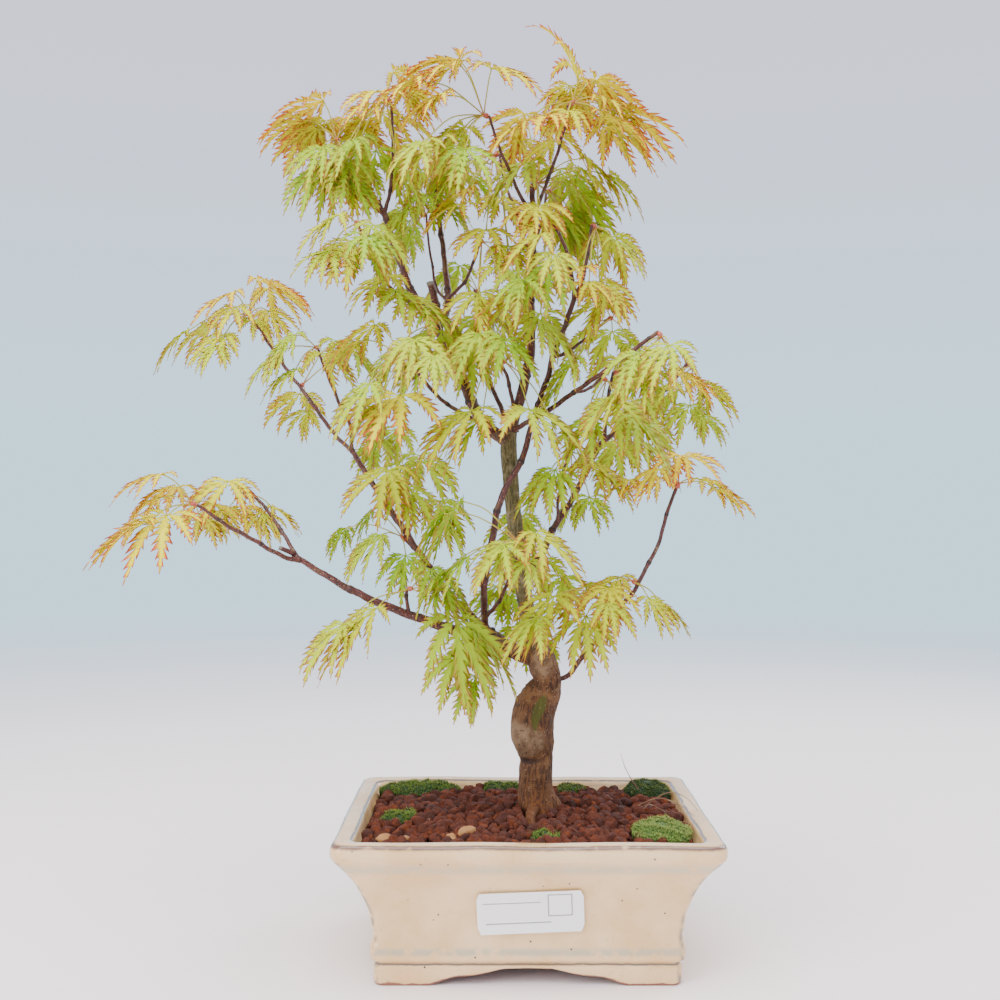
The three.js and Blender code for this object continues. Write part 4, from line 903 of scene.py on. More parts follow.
# %% Dead rootlets
ROOTLETS = [
    # paths, in mm from the pot's middle, z above the soil
    [(56, 6, 1), (63, 0, 7), (71, -6, 11), (80, -12, 9), (87, -20, 5)],
    [(58, 8, 0), (66, 4, 5), (72, -2, 4), (77, -8, 1)],
    [(60, 2, 0), (68, -2, 9), (76, -6, 14), (84, -8, 12), (90, -12, 6)],
    [(66, 36, 3), (60, 34, 12), (56, 32, 20), (54, 31, 27)],
    [(-52, -20, 2), (-50, -24, 5), (-49, -28, 3)],
]
dry_root = make_clay("dry_rootlets", "#4a2e20", "#8b6247", "#b99a7c", 0.7)
rootlet_skins = []
for knots in ROOTLETS:
    path = smooth_path(np.array(knots) + [0, 0, SOIL_LEVEL], 0.8)
    thin = np.linspace(0.32, 0.14, len(path))
    rootlet_skins.append(skin(tube(path, thin, 6, (0, 0, 1)), tone=0.6))
rootlets = put_piece("dead_rootlets", [(dry_root, rootlet_skins)])
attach(rootlets, "root")
print("rootlets:", len(rootlet_skins))

# %% [markdown]
# ## Where the wood runs
#
# The trunk is a list of rings, each a middle point and a radius, and every root, branch and
# twig is a line of points with a first and last radius. A limb starts on the middle line of
# whatever it grows from, so its first point is moved to the nearest point laid so far.

# %% Wood
TRUNK_RINGS = [
    # x, y, z above the soil, radius
    (9, 5, -22, 7),
    (9, 5, -8, 12),
    (8, 5, 2, 10.8),
    (6, 5, 12, 9.2),
    (6, 5, 26, 8.9),
    (5, 5, 38, 9.8),
    (4, 5, 46, 10.8),
    (5, 5, 55, 10.9),
    (9, 4, 65, 9.6),
    (11, 3, 73, 8.2),
    (9, 2, 82, 7.5),
    (6, 2, 91, 5.1),
    (2, 1, 104, 4.4),
    (0, 0, 115, 4.2),
    (-3, 0, 136, 4.1),
    (-6, 0, 158, 4.1),
    (-8, 0, 179, 4.1),
    (-9, 3, 196, 4.2),
    (-8, 4, 207, 3.6),
]
LIMBS = [
    # name, first radius, last radius, points as x, y, z above the soil
    ("exposed front root", 3.2, 1.7, [
        (6, -2, 6), (3, -9, 2), (2, -17, -1), (3, -25, -5), (4, -32, -10)]),
    ("buried left root", 4.5, 1.4, [
        (6, 5, -8), (-10, 8, -13), (-28, 12, -20)]),
    ("buried right root", 4.5, 1.4, [
        (10, 5, -8), (26, 2, -14), (44, -4, -22)]),
    ("buried rear root", 4.2, 1.4, [
        (9, 8, -8), (12, 22, -14), (8, 38, -22)]),
    ("bark swelling", 5.5, 4.5, [
        (0, 4, 40), (-1, 2, 46), (1, 2, 56)]),
    ("lower left branch", 4.4, 1.4, [
        (2, 3, 82), (-7, 0, 88), (-19, -4, 97), (-29, -11, 98), (-42, -14, 102), (-61, -16, 109),
        (-91, -19, 122), (-117, -20, 138)]),
    ("lower left tip", 1.3, 0.8, [
        (-117, -20, 138), (-124, -24, 139), (-135, -30, 146), (-150, -35, 155), (-155, -38, 159),
        (-165, -40, 166)]),
    ("lower left upright", 1.1, 0.7, [
        (-118, -20, 140), (-128, -14, 153), (-137, -8, 164), (-147, -2, 174)]),
    ("lower left cut stub", 1.2, 1.1, [
        (-121, -20, 140), (-127, -24, 144)]),
    ("lower left spur", 1.0, 0.7, [
        (-61, -16, 109), (-62, -19, 119), (-61, -19, 123)]),
    ("second left branch", 2.2, 1.5, [
        (-19, -4, 99), (-32, 2, 109), (-41, 11, 115), (-52, 19, 131), (-65, 27, 149),
        (-75, 32, 163),
        (-87, 38, 180), (-97, 40, 196)]),
    ("second left tip", 1.2, 0.8, [
        (-99, 40, 197), (-108, 46, 206), (-123, 51, 226), (-137, 57, 244), (-145, 59, 255),
        (-153, 62, 267), (-159, 62, 275)]),
    ("second left upright", 1.1, 0.7, [
        (-97, 40, 197), (-98, 35, 211), (-102, 32, 219), (-107, 30, 231), (-111, 27, 242),
        (-115, 27, 253)]),
    ("second left spur", 0.9, 0.7, [
        (-55, 20, 135), (-62, 24, 142), (-66, 27, 146)]),
    ("crossing branch", 1.9, 1.3, [
        (-20, -4, 100), (-22, -16, 114), (-21, -24, 130), (-18, -30, 146), (-15, -32, 163),
        (-10, -32, 176), (-3, -30, 188), (2, -24, 204), (6, -19, 218), (11, -16, 232),
        (14, -16, 243),
        (20, -19, 259), (25, -22, 273)]),
    ("crossing left fork", 1.1, 0.8, [
        (25, -22, 273), (24, -24, 279), (21, -30, 293), (17, -32, 302), (12, -35, 309)]),
    ("crossing right fork", 1.1, 0.8, [
        (26, -22, 273), (29, -19, 282), (32, -16, 296), (34, -14, 312)]),
    ("crossing side twig", 1.0, 0.7, [
        (14, -16, 243), (20, -14, 245), (31, -8, 253), (44, -2, 265)]),
    ("thin rear shoot", 1.2, 0.7, [
        (-19, -11, 106), (-14, -27, 117), (-8, -40, 132), (-3, -49, 148)]),
    ("lowest right branch", 1.4, 0.9, [
        (16, 5, 73), (22, 2, 74), (31, -2, 86), (40, -8, 98), (49, -11, 112), (57, -14, 122),
        (64, -14, 136), (69, -16, 146), (73, -16, 161), (78, -16, 174)]),
    ("lowest right spur", 0.9, 0.7, [
        (40, -8, 100), (40, -19, 111), (41, -24, 117)]),
    ("right branch", 2.0, 1.1, [
        (2, 0, 128), (8, 4, 138), (15, 14, 152), (25, 22, 167), (36, 30, 187), (44, 35, 201),
        (57, 40, 210), (71, 46, 221), (81, 49, 232), (90, 49, 242), (95, 49, 248)]),
    ("right side twig", 0.9, 0.7, [
        (16, 14, 158), (18, 11, 168), (20, 4, 182), (23, 0, 195)]),
    ("right upright", 1.1, 0.8, [
        (45, 35, 202), (46, 30, 216), (47, 24, 229), (49, 22, 239)]),
    ("right cut stub", 1.3, 1.2, [
        (50, 38, 205), (55, 43, 212), (60, 49, 220)]),
    ("upper left branch", 3.2, 2.5, [
        (-10, 4, 200), (-22, 8, 209), (-29, 11, 222), (-35, 14, 237), (-42, 16, 251),
        (-48, 19, 263)]),
    ("upper left fork", 2.2, 1.7, [
        (-48, 19, 263), (-55, 19, 272), (-63, 22, 285), (-68, 22, 298), (-73, 24, 312),
        (-77, 27, 325),
        (-82, 30, 335)]),
    ("upper left shoot", 1.1, 0.7, [
        (-79, 27, 328), (-84, 24, 331), (-93, 19, 345), (-100, 14, 358), (-102, 11, 363)]),
    ("upper left top shoot", 1.1, 0.7, [
        (-77, 27, 329), (-74, 22, 339), (-72, 14, 359), (-72, 4, 383)]),
    ("upper left rear twig", 1.1, 0.7, [
        (-55, 19, 272), (-65, 8, 277), (-75, -4, 285), (-81, -16, 297), (-87, -24, 311)]),
    ("upper inner fork", 2.0, 1.2, [
        (-48, 19, 263), (-43, 27, 274), (-43, 32, 286), (-45, 38, 304), (-47, 40, 319),
        (-49, 43, 332),
        (-51, 46, 347)]),
    ("upper inner twig", 0.9, 0.6, [
        (-43, 30, 280), (-49, 35, 287), (-52, 43, 301), (-55, 49, 318), (-56, 51, 333)]),
    ("upper inner side shoot", 1.0, 0.7, [
        (-42, 30, 280), (-33, 22, 289), (-28, 14, 298), (-24, 8, 309)]),
    ("upper cut stub", 2.1, 2.0, [
        (-46, 14, 265), (-48, 8, 274), (-51, 2, 285)]),
    ("rear left twig", 1.3, 0.8, [
        (-14, 4, 205), (-29, -8, 212), (-41, -19, 218), (-52, -30, 229), (-60, -38, 240)]),
    ("front upright", 1.4, 0.8, [
        (-9, 4, 209), (-16, 19, 226), (-22, 27, 242), (-25, 32, 255), (-27, 38, 276),
        (-28, 43, 288)]),
    ("leader", 3.0, 1.4, [
        (-7, 4, 206), (-3, 0, 222), (0, -2, 235), (3, -2, 251), (3, 0, 275), (4, 2, 300),
        (4, 4, 321),
        (4, 8, 339)]),
    ("leader left shoot", 1.1, 0.7, [
        (3, 4, 323), (-3, 0, 331), (-8, -8, 341), (-14, -14, 352), (-19, -19, 367)]),
    ("leader right shoot", 1.1, 0.7, [
        (4, 4, 323), (8, 2, 329), (12, -2, 340), (17, -8, 352), (21, -14, 367), (22, -16, 374)]),
    ("leader front shoot", 1.0, 0.7, [
        (3, 2, 300), (-1, 11, 310), (-4, 19, 325), (-11, 27, 345), (-14, 32, 362)]),
    ("leader side shoot", 0.9, 0.7, [
        (5, 2, 302), (9, 14, 320), (12, 22, 339)]),
    ("long right twig", 1.4, 0.9, [
        (-6, 4, 205), (10, -19, 214), (24, -32, 223), (42, -46, 235), (59, -57, 247),
        (63, -59, 250)]),
    ("long right spur", 0.8, 0.7, [
        (25, -30, 222), (33, -24, 226), (39, -19, 232)]),
    ("short rear shoot", 1.1, 0.7, [
        (-6, 2, 214), (-9, -11, 229), (-13, -19, 240), (-14, -24, 244)]),
]


def above_soil(points):
    """Points given above the soil, as points above the surface the pot stands on."""
    return np.asarray(points, float)[..., :3] + [0.0, 0.0, SOIL_LEVEL]


def nearest_on_wood(target, wood):
    """The nearest point of all middle lines: each stretch's point is its start plus the share
    of it that the target projects to. Returns point, direction and radius there."""
    starts = np.vstack([points[:-1] for points, _ in wood])
    spans = np.vstack([np.diff(points, axis=0) for points, _ in wood])
    radii = np.concatenate([np.maximum(radius[:-1], radius[1:]) for _, radius in wood])
    share = ((target - starts) * spans).sum(1) / (spans**2).sum(1)
    near = starts + np.clip(share, 0, 1)[:, None] * spans
    best = int(np.argmin(np.linalg.norm(near - target, axis=1)))
    return near[best], unit(spans[best]), radii[best]


wood = [(above_soil(TRUNK_RINGS), np.array([ring[3] for ring in TRUNK_RINGS]))]
for name, first, last, knots in LIMBS:
    points = above_soil(knots)
    points[0] = nearest_on_wood(points[0], wood)[0]
    wood.append((points, np.linspace(first, last, len(points))))
print("limbs laid:", len(wood), "length in m:", round(sum(
    float(np.linalg.norm(np.diff(points, axis=0), axis=1).sum()) for points, _ in wood) / 1000, 2))

# %% [markdown]
# ## Maple bark
#
# Old maple bark is orange-brown with fine upright ridges, grey-tan where it has healed over a
# wound, and olive where the young green layer shows. Shoots of the last years are smooth and
# red-brown, with a dark ring at each pair of buds. On the trunk the same dark ring colour is
# painted shade in the hollow under the burl and in the notch. The numbers on the skin say
# which is where.

# %% Bark finish
def make_bark():
    """Bark from old to young, with healed, green and ringed places, and painted shade under the
    trunk's burl and in its notch.
    """
    material, tree, shader = start_material("maple_bark", IOR=1.45)
    where = add(tree, "TexCoord").outputs["Object"]
    value = {name: attribute(tree, name)
             for name in ("young", "healed", "green", "ring", "height", "cut")}
    upright = add(tree, "Mapping", {"Vector": where, "Scale": (1.0, 1.0, 0.16)})
    ridges = noise(tree, upright.outputs[0], 0.9, 6.0, Roughness=0.65)
    mottle = noise(tree, where, 6, 5.0)
    pores, _ = cells(tree, where, 2.6)
    flecks, _ = cells(tree, where, 1.9)
    old = blend(tree, ramp(tree, ridges, 0.38, 0.62), "#33190a", "#6b4220")
    old = blend(tree, ramp(tree, mottle, 0.45, 0.68, 0.0, 0.8), old, "#7c5431")
    upper = blend(tree, ramp(tree, ridges, 0.36, 0.66), "#3e3819", "#786741")
    upper = blend(tree, ramp(tree, mottle, 0.5, 0.7, 0.0, 0.7), upper, "#897a5e")
    colour = blend(tree, ramp(tree, value["height"], 84, 96), old, upper)
    low = blend(tree, ramp(tree, ridges, 0.35, 0.65), "#45230a", "#7c4614")
    colour = blend(tree, ramp(tree, value["height"], 0, 24, 0.8, 0.0), colour, low)
    scar = blend(tree, ramp(tree, mottle, 0.35, 0.65), "#5e422b", "#84664a")
    hole = ramp(tree, pores, 0.12, 0.24, 0.85, 0.0)
    scar = blend(tree, hole, scar, "#1d120c")
    colour = blend(tree, ramp(tree, value["healed"], 0.25, 0.6), colour, scar)
    sap = blend(tree, ridges, "#3a390c", "#5c5718")
    colour = blend(tree, ramp(tree, value["green"], 0.3, 0.6), colour, sap)
    shoot = blend(tree, ramp(tree, ridges, 0.35, 0.65), "#2e0f0b", "#5f2a20")
    shoot = blend(tree, ramp(tree, mottle, 0.52, 0.75, 0.0, 0.6), shoot, "#6f5331")
    colour = blend(tree, ramp(tree, value["young"], 0.15, 0.75), colour, shoot)
    spot = ramp(tree, flecks, 0.1, 0.22, 0.6, 0.0)
    colour = blend(tree, spot, colour, "#a3876a")
    # Bud rings on the shoots; on the trunk, painted shade under the burl and in the notch.
    colour = blend(tree, ramp(tree, value["ring"], 0.3, 0.8, 0.0, 0.8), colour, "#1f0c0a")
    colour = blend(tree, ramp(tree, value["cut"], 0.3, 0.8), colour, "#6f6358")
    tree.links.new(colour, shader.inputs["Base Color"])
    tree.links.new(ramp(tree, value["young"], 0.0, 1.0, 0.78, 0.45), shader.inputs["Roughness"])
    depth = ramp(tree, value["young"], 0.0, 0.8, 0.8, 0.2)
    emboss(tree, shader, ridges, depth, 0.7)
    return material


bark = make_bark()
print("finish:", bark.name)

# %% [markdown]
# ## Trunk, roots and branches
#
# Each limb is a tube. Its foot flares into a collar, as a branch's does where the trunk's
# rings grow round it, and it swells at pairs of buds. The trunk also has a healed burl at
# the left, a sunken green strip between two lips, and a notch above it. They are bells in
# height and angle that push its radius out or in.

# %% Trunk skin
def make_trunk():
    """The trunk's tube: its radius is shaped by bells of height and of angle, then ridged."""
    rings = smooth_path(np.column_stack([above_soil(TRUNK_RINGS), wood[0][1]]), 0.9)
    columns = 72
    path, radius = rings[:, :3], rings[:, 3]
    up = (path[:, 2] - SOIL_LEVEL)[:, None]
    turn = np.degrees(np.arange(columns) * 2 * np.pi / columns)[None, :]

    def facing(centre, width):
        return bell((turn - centre + 180) % 360 - 180, 0, width)

    burl = facing(232, 62) * bell(up, 41, 8.0) * (up > 0)
    undercut = facing(238, 70) * bell(up, 30.0, 2.4)
    shoulder = facing(200, 44) * bell(up, 59, 8.5)
    notch = facing(190, 60) * bell(up, 72, 5.0)
    knee = facing(265, 60) * bell(up, 83, 8.5)
    strip = facing(274, 4 + np.clip(up - 42, 0, 26) * 0.75) * bell(up, 56, 9.5)
    lips = (facing(247, 10) + facing(300, 10)) * bell(up, 56, 11.0)
    foot = bell(up, 0, 8.0)
    surface = tube(path, radius, columns)
    wide = surface * [1.0, 1.0, 0.22]
    ridge = 0.40 * lumps(wide, 3.2, 41) + 0.22 * lumps(wide, 1.6, 42)
    soft = np.clip(1.2 - burl - knee, 0.25, 1)
    shaped = radius[:, None] + 2.9 * burl - 1.5 * undercut + 1.3 * shoulder - 1.9 * notch
    shaped += 1.0 * knee - 1.6 * strip + 0.9 * lips + 0.7 * foot * np.sin(np.radians(turn * 3))
    shaped += ridge * soft * np.clip(radius[:, None] / 9, 0.25, 1)
    shaped += 0.5 * lumps(surface, 16, 43) * (radius[:, None] / 10)
    # ring darkens the hollow under the burl and the notch: painted shade there, not bud rings.
    return skin(tube(path, shaped, columns), young=0.0, height=up, green=strip * 1.4,
                healed=np.clip(burl * 1.3 + 0.85 * knee + 0.3 * shoulder, 0, 1),
                ring=np.clip(undercut * 0.9 + notch * 0.5, 0, 1))


trunk_skin = make_trunk()
print("trunk points:", len(trunk_skin["points"]))

# %% Limb skins
ROOT_SHOWS = 2.2
OLD_RADIUS = 4.6
YOUNG_RADIUS = 1.9


def make_limb(points, radii, seed, is_stub, is_root):
    """A limb's tube: radius flares near its foot as a falling exponential, swells at every
    other middle knot, and carries shallow lengthwise ridges."""
    line = smooth_path(np.column_stack([points, radii]), 0.9 if radii[0] > 1.6 else 1.2)
    path, radius = line[:, :3], line[:, 3]
    path = path + 0.25 * np.stack([lumps(path, 11, seed + k) for k in range(3)], -1)
    walked = np.concatenate([[0.0], np.cumsum(np.linalg.norm(np.diff(path, axis=0), axis=1))])
    knots = np.interp(np.linspace(0, 1, len(points))[1:-1], np.linspace(0, 1, len(path)), walked)
    knots = knots[1::2] if len(knots) > 2 else knots
    ring = sum((bell(walked, place, 1.1) for place in knots), np.zeros(len(path)))
    flare = 1 + 0.55 * np.exp(-walked / (1.6 * radius + 1e-6))
    columns = 20 if radii[0] > 2 else 12
    surface = tube(path, radius, columns, (0.3, 1.0, 0.2))
    ridge = 1 + 0.06 * lumps(surface * [1, 1, 0.4], 2.4, seed + 9)
    shaped = (radius * flare * (1 + 0.28 * np.clip(ring, 0, 1)))[:, None] * ridge
    if not is_root:
        young = np.clip((OLD_RADIUS - radius) / (OLD_RADIUS - YOUNG_RADIUS), 0, 1)
        young = np.maximum(young, np.clip(walked / 60, 0, 0.8))
    else:
        young = np.zeros(len(path))
    cut = bell(walked, walked[-1], 1.4) if is_stub else np.zeros(len(path))
    up = path[:, 2] - SOIL_LEVEL
    return skin(tube(path, shaped, columns, (0.3, 1.0, 0.2)), young=young[:, None],
                ring=np.clip(ring, 0, 1)[:, None] * (not is_root), cut=cut[:, None],
                height=np.where(is_root, 2.0, up)[:, None])


limb_skins = []
for number, ((name, *_), (points, radii)) in enumerate(zip(LIMBS, wood[1:])):
    if name == "bark swelling":
        # The trunk's own burl shows it.
        continue
    if name == "exposed front root":
        points = points + [0, 0, ROOT_SHOWS]
    limb_skins.append(make_limb(points, radii, 300 + 10 * number, "stub" in name, "root" in name))
tree_piece = put_piece("maple_wood", [(bark, [trunk_skin, *limb_skins])])
settle(tree_piece, "maple_bark", "trunk_and_branches")

# %% [markdown]
# ## Where the leaves grow
#
# A spray is the leaves of one bud. Each row gives the bud, then each leaf's hub, the length
# of its longest lobe and its age, from 0 just opened to 1 full grown, which also sets how far
# it hangs. The bud sits just outside the wood nearest to it, on the side its leaves are on.

# %% Sprays
SPRAYS = [
    # bud as x, y, z, then leaves as x, y, z, length, age and sometimes their own dip and heading
    ((-102, 11, 363), [(-109, 8, 384, 46, 0.1), (-98, 19, 378, 34, 0.2), (-105, 2, 359, 36, 0.7),
        (-99, 0, 347, 40, 0.8), (-98, 22, 354, 38, 0.5)]),
    ((-72, 4, 383), [(-71, 4, 398, 36, 0.1), (-75, -8, 382, 32, 0.2), (-78, 16, 381, 34, 0.3),
        (-87, -11, 357, 36, 0.8), (-81, 11, 358, 38, 0.7)]),
    ((-19, -19, 367), [(-34, -22, 395, 46, 0.1), (-54, -32, 381, 36, 0.2), (-30, -11, 365, 40, 0.5),
        (-44, -40, 348, 40, 0.6)]),
    ((22, -16, 374), [(27, -16, 389, 40, 0.1, -54, 176), (38, -4, 391, 34, 0.1),
        (36, -24, 374, 36, 0.3), (45, -14, 371, 50, 0.1), (11, -30, 363, 34, 0.2)]),
    ((4, 8, 336), [(0, 14, 379, 36, 0.2), (2, -4, 346, 38, 0.7), (31, 0, 351, 38, 0.5),
        (31, 19, 337, 40, 0.8), (7, -19, 321, 36, 0.3)]),
    ((-14, 32, 362), [(-28, 35, 360, 38, 0.6), (-30, 24, 340, 40, 0.3), (-21, 11, 315, 34, 0.4)]),
    ((12, 22, 339), [(20, 35, 354, 34, 0.6), (27, 32, 328, 36, 0.8)]),
    ((-51, 46, 347), [(-53, 35, 340, 36, 0.7), (-62, 52, 374, 36, 0.5), (-44, 64, 367, 36, 0.6)]),
    ((-56, 51, 333), [(-66, 59, 338, 34, 0.8), (-66, 65, 324, 34, 0.8)]),
    ((-87, -24, 311), [(-87, -35, 299, 42, 0.5), (-94, -40, 311, 34, 0.6),
        (-76, -43, 305, 34, 0.7)]),
    ((-65, 8, 277), [(-72, -14, 285, 36, 0.5), (-59, -19, 273, 38, 0.6)]),
    ((-24, 8, 309), [(-25, -14, 276, 38, 0.5), (-15, -22, 287, 34, 0.6)]),
    ((-46, 14, 265), [(-44, -11, 257, 42, 0.9), (-59, 2, 254, 34, 0.8)]),
    ((-28, 43, 288), [(-25, 19, 259, 36, 0.8), (-15, 51, 284, 36, 0.6), (-37, 59, 305, 34, 0.7)]),
    ((12, -35, 309), [(-3, -30, 275, 36, 0.5), (11, -46, 285, 36, 0.8), (6, -49, 299, 32, 0.5)]),
    ((34, -14, 312), [(29, -24, 288, 26, 0.2), (39, -8, 283, 34, 0.4), (45, -2, 309, 34, 0.5)]),
    ((44, -2, 265), [(39, -14, 270, 34, 0.5), (47, 8, 260, 34, 0.6), (25, -27, 240, 38, 0.8)]),
    ((-60, -38, 240), [(-63, -46, 220, 46, 0.3), (-76, -40, 256, 32, 0.4), (-77, -54, 225, 36, 0.8),
        (-55, -59, 246, 34, 0.7)]),
    ((-14, -24, 244), [(-24, -35, 252, 38, 0.8), (-28, -40, 213, 46, 0.5)]),
    ((-13, -19, 240), [(1, -46, 213, 42, 0.6), (7, -35, 259, 38, 0.8)]),
    ((63, -59, 250), [(58, -68, 228, 36, 0.6), (72, -54, 231, 26, 0.2), (66, -76, 241, 34, 0.6)]),
    ((39, -19, 232), [(44, -35, 219, 40, 0.6), (32, -30, 209, 34, 0.7)]),
    ((95, 49, 248), [(82, 38, 233, 36, 0.6), (103, 57, 238, 34, 0.5), (98, 65, 224, 34, 0.6)]),
    ((49, 22, 239), [(63, 19, 201, 38, 0.6), (54, 38, 248, 34, 0.7)]),
    ((60, 49, 220), [(53, 59, 203, 36, 0.5), (72, 65, 213, 34, 0.6)]),
    ((78, -16, 174), [(80, -19, 188, 34, 0.1), (67, -32, 184, 28, 0.2), (91, -11, 179, 28, 0.2)]),
    ((-159, 62, 275), [(-155, 59, 296, 42, 0.1), (-151, 73, 294, 36, 0.2), (-163, 51, 278, 30, 0.4),
        (-179, 54, 271, 38, 0.5), (-170, 40, 262, 34, 0.5)]),
    ((-129, 54, 234), [(-108, 50, 260, 34, 0.6), (-132, 70, 231, 36, 0.4)]),
    ((-115, 27, 253), [(-111, 14, 249, 36, 0.5), (-125, 11, 258, 34, 0.7)]),
    ((-165, -40, 166), [(-180, -46, 181, 32, 0.1), (-176, -32, 174, 32, 0.2),
        (-177, -49, 161, 48, 0.1),
        (-168, -27, 162, 26, 0.4)]),
    ((-147, -2, 174), [(-153, -8, 176, 38, 0.3), (-151, 8, 167, 26, 0.3), (-138, 2, 166, 24, 0.4)]),
    ((-66, 27, 146), [(-77, 19, 149, 36, 0.8), (-74, 14, 185, 44, 0.5), (-86, 40, 162, 26, 0.9)]),
    ((-61, -19, 123), [(-77, -30, 113, 50, 0.5), (-36, -35, 108, 52, 0.9),
        (-52, -24, 130, 38, 0.8)]),
    ((-3, -49, 148), [(1, -59, 151, 38, 0.5), (-32, -54, 168, 40, 0.9), (-30, -49, 140, 36, 0.9),
        (-11, -65, 145, 26, 0.8)]),
    ((23, 0, 195), [(33, -14, 187, 34, 0.4), (35, 11, 170, 26, 0.9), (15, -19, 184, 34, 0.7)]),
    ((41, -24, 117), [(24, -35, 118, 42, 0.5), (41, -40, 124, 32, 0.4), (13, -49, 121, 40, 0.5)]),
    ((60, -11, 124), [(61, -24, 120, 26, 0.5), (49, -2, 127, 30, 0.4)]),
    ((-65, 27, 149), [(-59, 46, 194, 42, 0.8), (-48, 49, 168, 36, 0.9), (-74, 62, 210, 36, 0.7)]),
    ((-1, 0, 126), [(-2, 27, 160, 36, 0.9), (9, 32, 135, 36, 0.6), (-3, 24, 97, 34, 0.8),
        (-15, 20, 121, 34, 0.9)]),
    ((-24, -8, 98), [(-31, 22, 92, 36, 0.9), (-36, -30, 88, 34, 0.7)]),
]
BUD_RADIUS = 1.4
BUD_GAP = 0.6
SHORTEST_STALK = 15.0
YOUNG_SPRAYS = {1, 2, 3, 4, 26, 27, 30}
MIDDLE_SPRAYS = {5, 6, 7, 10, 11, 12, 16, 17, 18, 19, 22, 23, 24, 25, 28, 29, 31}


def scatter(seed):
    """A repeatable number from 0 to 1: the fraction of a large multiple of a sine."""
    return float(np.mod(np.sin(seed * 12.9898 + 4.1414) * 43758.5453, 1.0))


def place_bud(bud, leaves):
    """Just outside the nearest wood, towards the mean direction of the leaves."""
    middle, along, radius = nearest_on_wood(above_soil(bud), wood)
    towards = unit(above_soil([leaf[:3] for leaf in leaves]) - middle).sum(0)
    towards = towards - min(float(towards @ along), 0.0) * along
    return middle + unit(towards) * (radius + BUD_RADIUS + BUD_GAP), middle


def place_hub(leaf, bud):
    """The hub, pushed out along its stalk to the shortest stalk's length."""
    reach = above_soil(leaf[:3]) - bud
    return bud + unit(reach) * max(float(np.linalg.norm(reach)), SHORTEST_STALK)


def leaf_axes(hub, bud, leaf, seed):
    """Aim along the middle lobe, side across the leaf, and face out of its upper side."""
    turn = np.arctan2(hub[1] - bud[1], hub[0] - bud[0]) + (scatter(seed * 3.7) - 0.5) * 1.1
    dip = 0.35 + 0.6 * leaf[4] + 0.25 * (scatter(seed * 5.3) - 0.5)
    if len(leaf) > 6:
        dip, turn = np.radians(leaf[5]), np.radians(leaf[6])
    heading = np.array([np.cos(turn), np.sin(turn), 0.0])
    aim = heading * np.cos(dip) - [0.0, 0.0, np.sin(dip)]
    side = np.array([-heading[1], heading[0], 0.0])
    return aim, side, unit(np.cross(aim, side))


print("sprays:", len(SPRAYS), "leaves:", sum(len(leaves) for _, leaves in SPRAYS))

# %% [markdown]
# ## Laceleaf blades
#
# A laceleaf maple's leaf is cut almost to its hub into seven narrow lobes, and each lobe has
# long teeth that slant towards its tip. The young ones are yellow with pink-orange margins,
# the older ones fresh green. A lobe is a thin closed shell: eight points go round its section,
# and each tooth takes four rows, from its notch out to its point and back.

# %% Room for the crown
crown_low, crown_high = (np.array(list(corner)) / MM - POT_CENTRE for corner in cad_box)
print("room for the crown in mm:", crown_low.round(1), crown_high.round(1))

# %% Leaf finish
# Share of the light that a thin leaf lets through.
LET_THROUGH = 0.42


def make_leaf():
    """A thin leaf: light is partly reflected by the surface and partly let through it."""
    material, tree, shader = start_material("young_maple_leaf", Roughness=0.5, IOR=1.38,
                                            Specular_IOR_Level=0.3)
    where = add(tree, "TexCoord").outputs["Object"]
    value = {name: attribute(tree, name)
             for name in ("edge", "along", "age", "tone")}
    mottle = noise(tree, where, 3.5, 4.0)
    blade_young = blend(tree, value["tone"], "#f2dc10", "#e4e020")
    blade_old = blend(tree, value["tone"], "#9ccc1c", "#c6da34")
    grown = ramp(tree, value["age"], 0.1, 0.85)
    blade = blend(tree, grown, blade_young, blade_old)
    blade = blend(tree, ramp(tree, mottle, 0.4, 0.7, 0.0, 0.35), blade, "#d2d428")
    margin = blend(tree, grown, "#dd4a3a", "#cb9a44")
    reach = math(tree, "MULTIPLY", value["edge"], value["along"])
    reach = math(tree, "MULTIPLY_ADD", value["edge"], 0.55, reach)
    shift = math(tree, "MULTIPLY_ADD", mottle, 0.5, -0.25)
    reach = math(tree, "ADD", reach, shift)
    amount = ramp(tree, reach, 0.32, 0.9, 0.0, 0.9)
    colour = blend(tree, amount, blade, margin)
    tip = ramp(tree, value["along"], 0.86, 1.0, 0.0, 0.7)
    colour = blend(tree, tip, colour, "#c24a30")
    vein = ramp(tree, value["edge"], 0.0, 0.3, 0.6, 0.0)
    colour = blend(tree, vein, colour, blend(tree, grown, "#f6e22e", "#c4d22c"))
    tree.links.new(colour, shader.inputs["Base Color"])
    emboss(tree, shader, mottle, 0.25, 0.3)
    through = add(tree, "BsdfTranslucent", {"Color": colour})
    mix_surface(tree, shader, LET_THROUGH, through)
    return material


def make_stalk_finish():
    """Smooth young stalk: red on the bud side, going olive-yellow towards the leaf."""
    material, tree, shader = start_material("young_leaf_stalk", Roughness=0.4)
    where = add(tree, "TexCoord").outputs["Object"]
    along = attribute(tree, "along")
    streak = noise(tree, where, 4, 3.0)
    red = blend(tree, streak, "#8f3322", "#b4583a")
    colour = blend(tree, ramp(tree, along, 0.1, 0.7), red, "#a59c22")
    tree.links.new(colour, shader.inputs["Base Color"])
    return material


leaf_finish, stalk_finish = make_leaf(), make_stalk_finish()
print("finishes:", leaf_finish.name, "and", stalk_finish.name)

# %% One lobe
# Each lobe is its angle from the middle one in degrees, and its share of the leaf's length.
LOBES = [(-104, 0.5), (-66, 0.78), (-31, 0.94), (0, 1.0), (31, 0.92), (66, 0.76), (104, 0.48)]
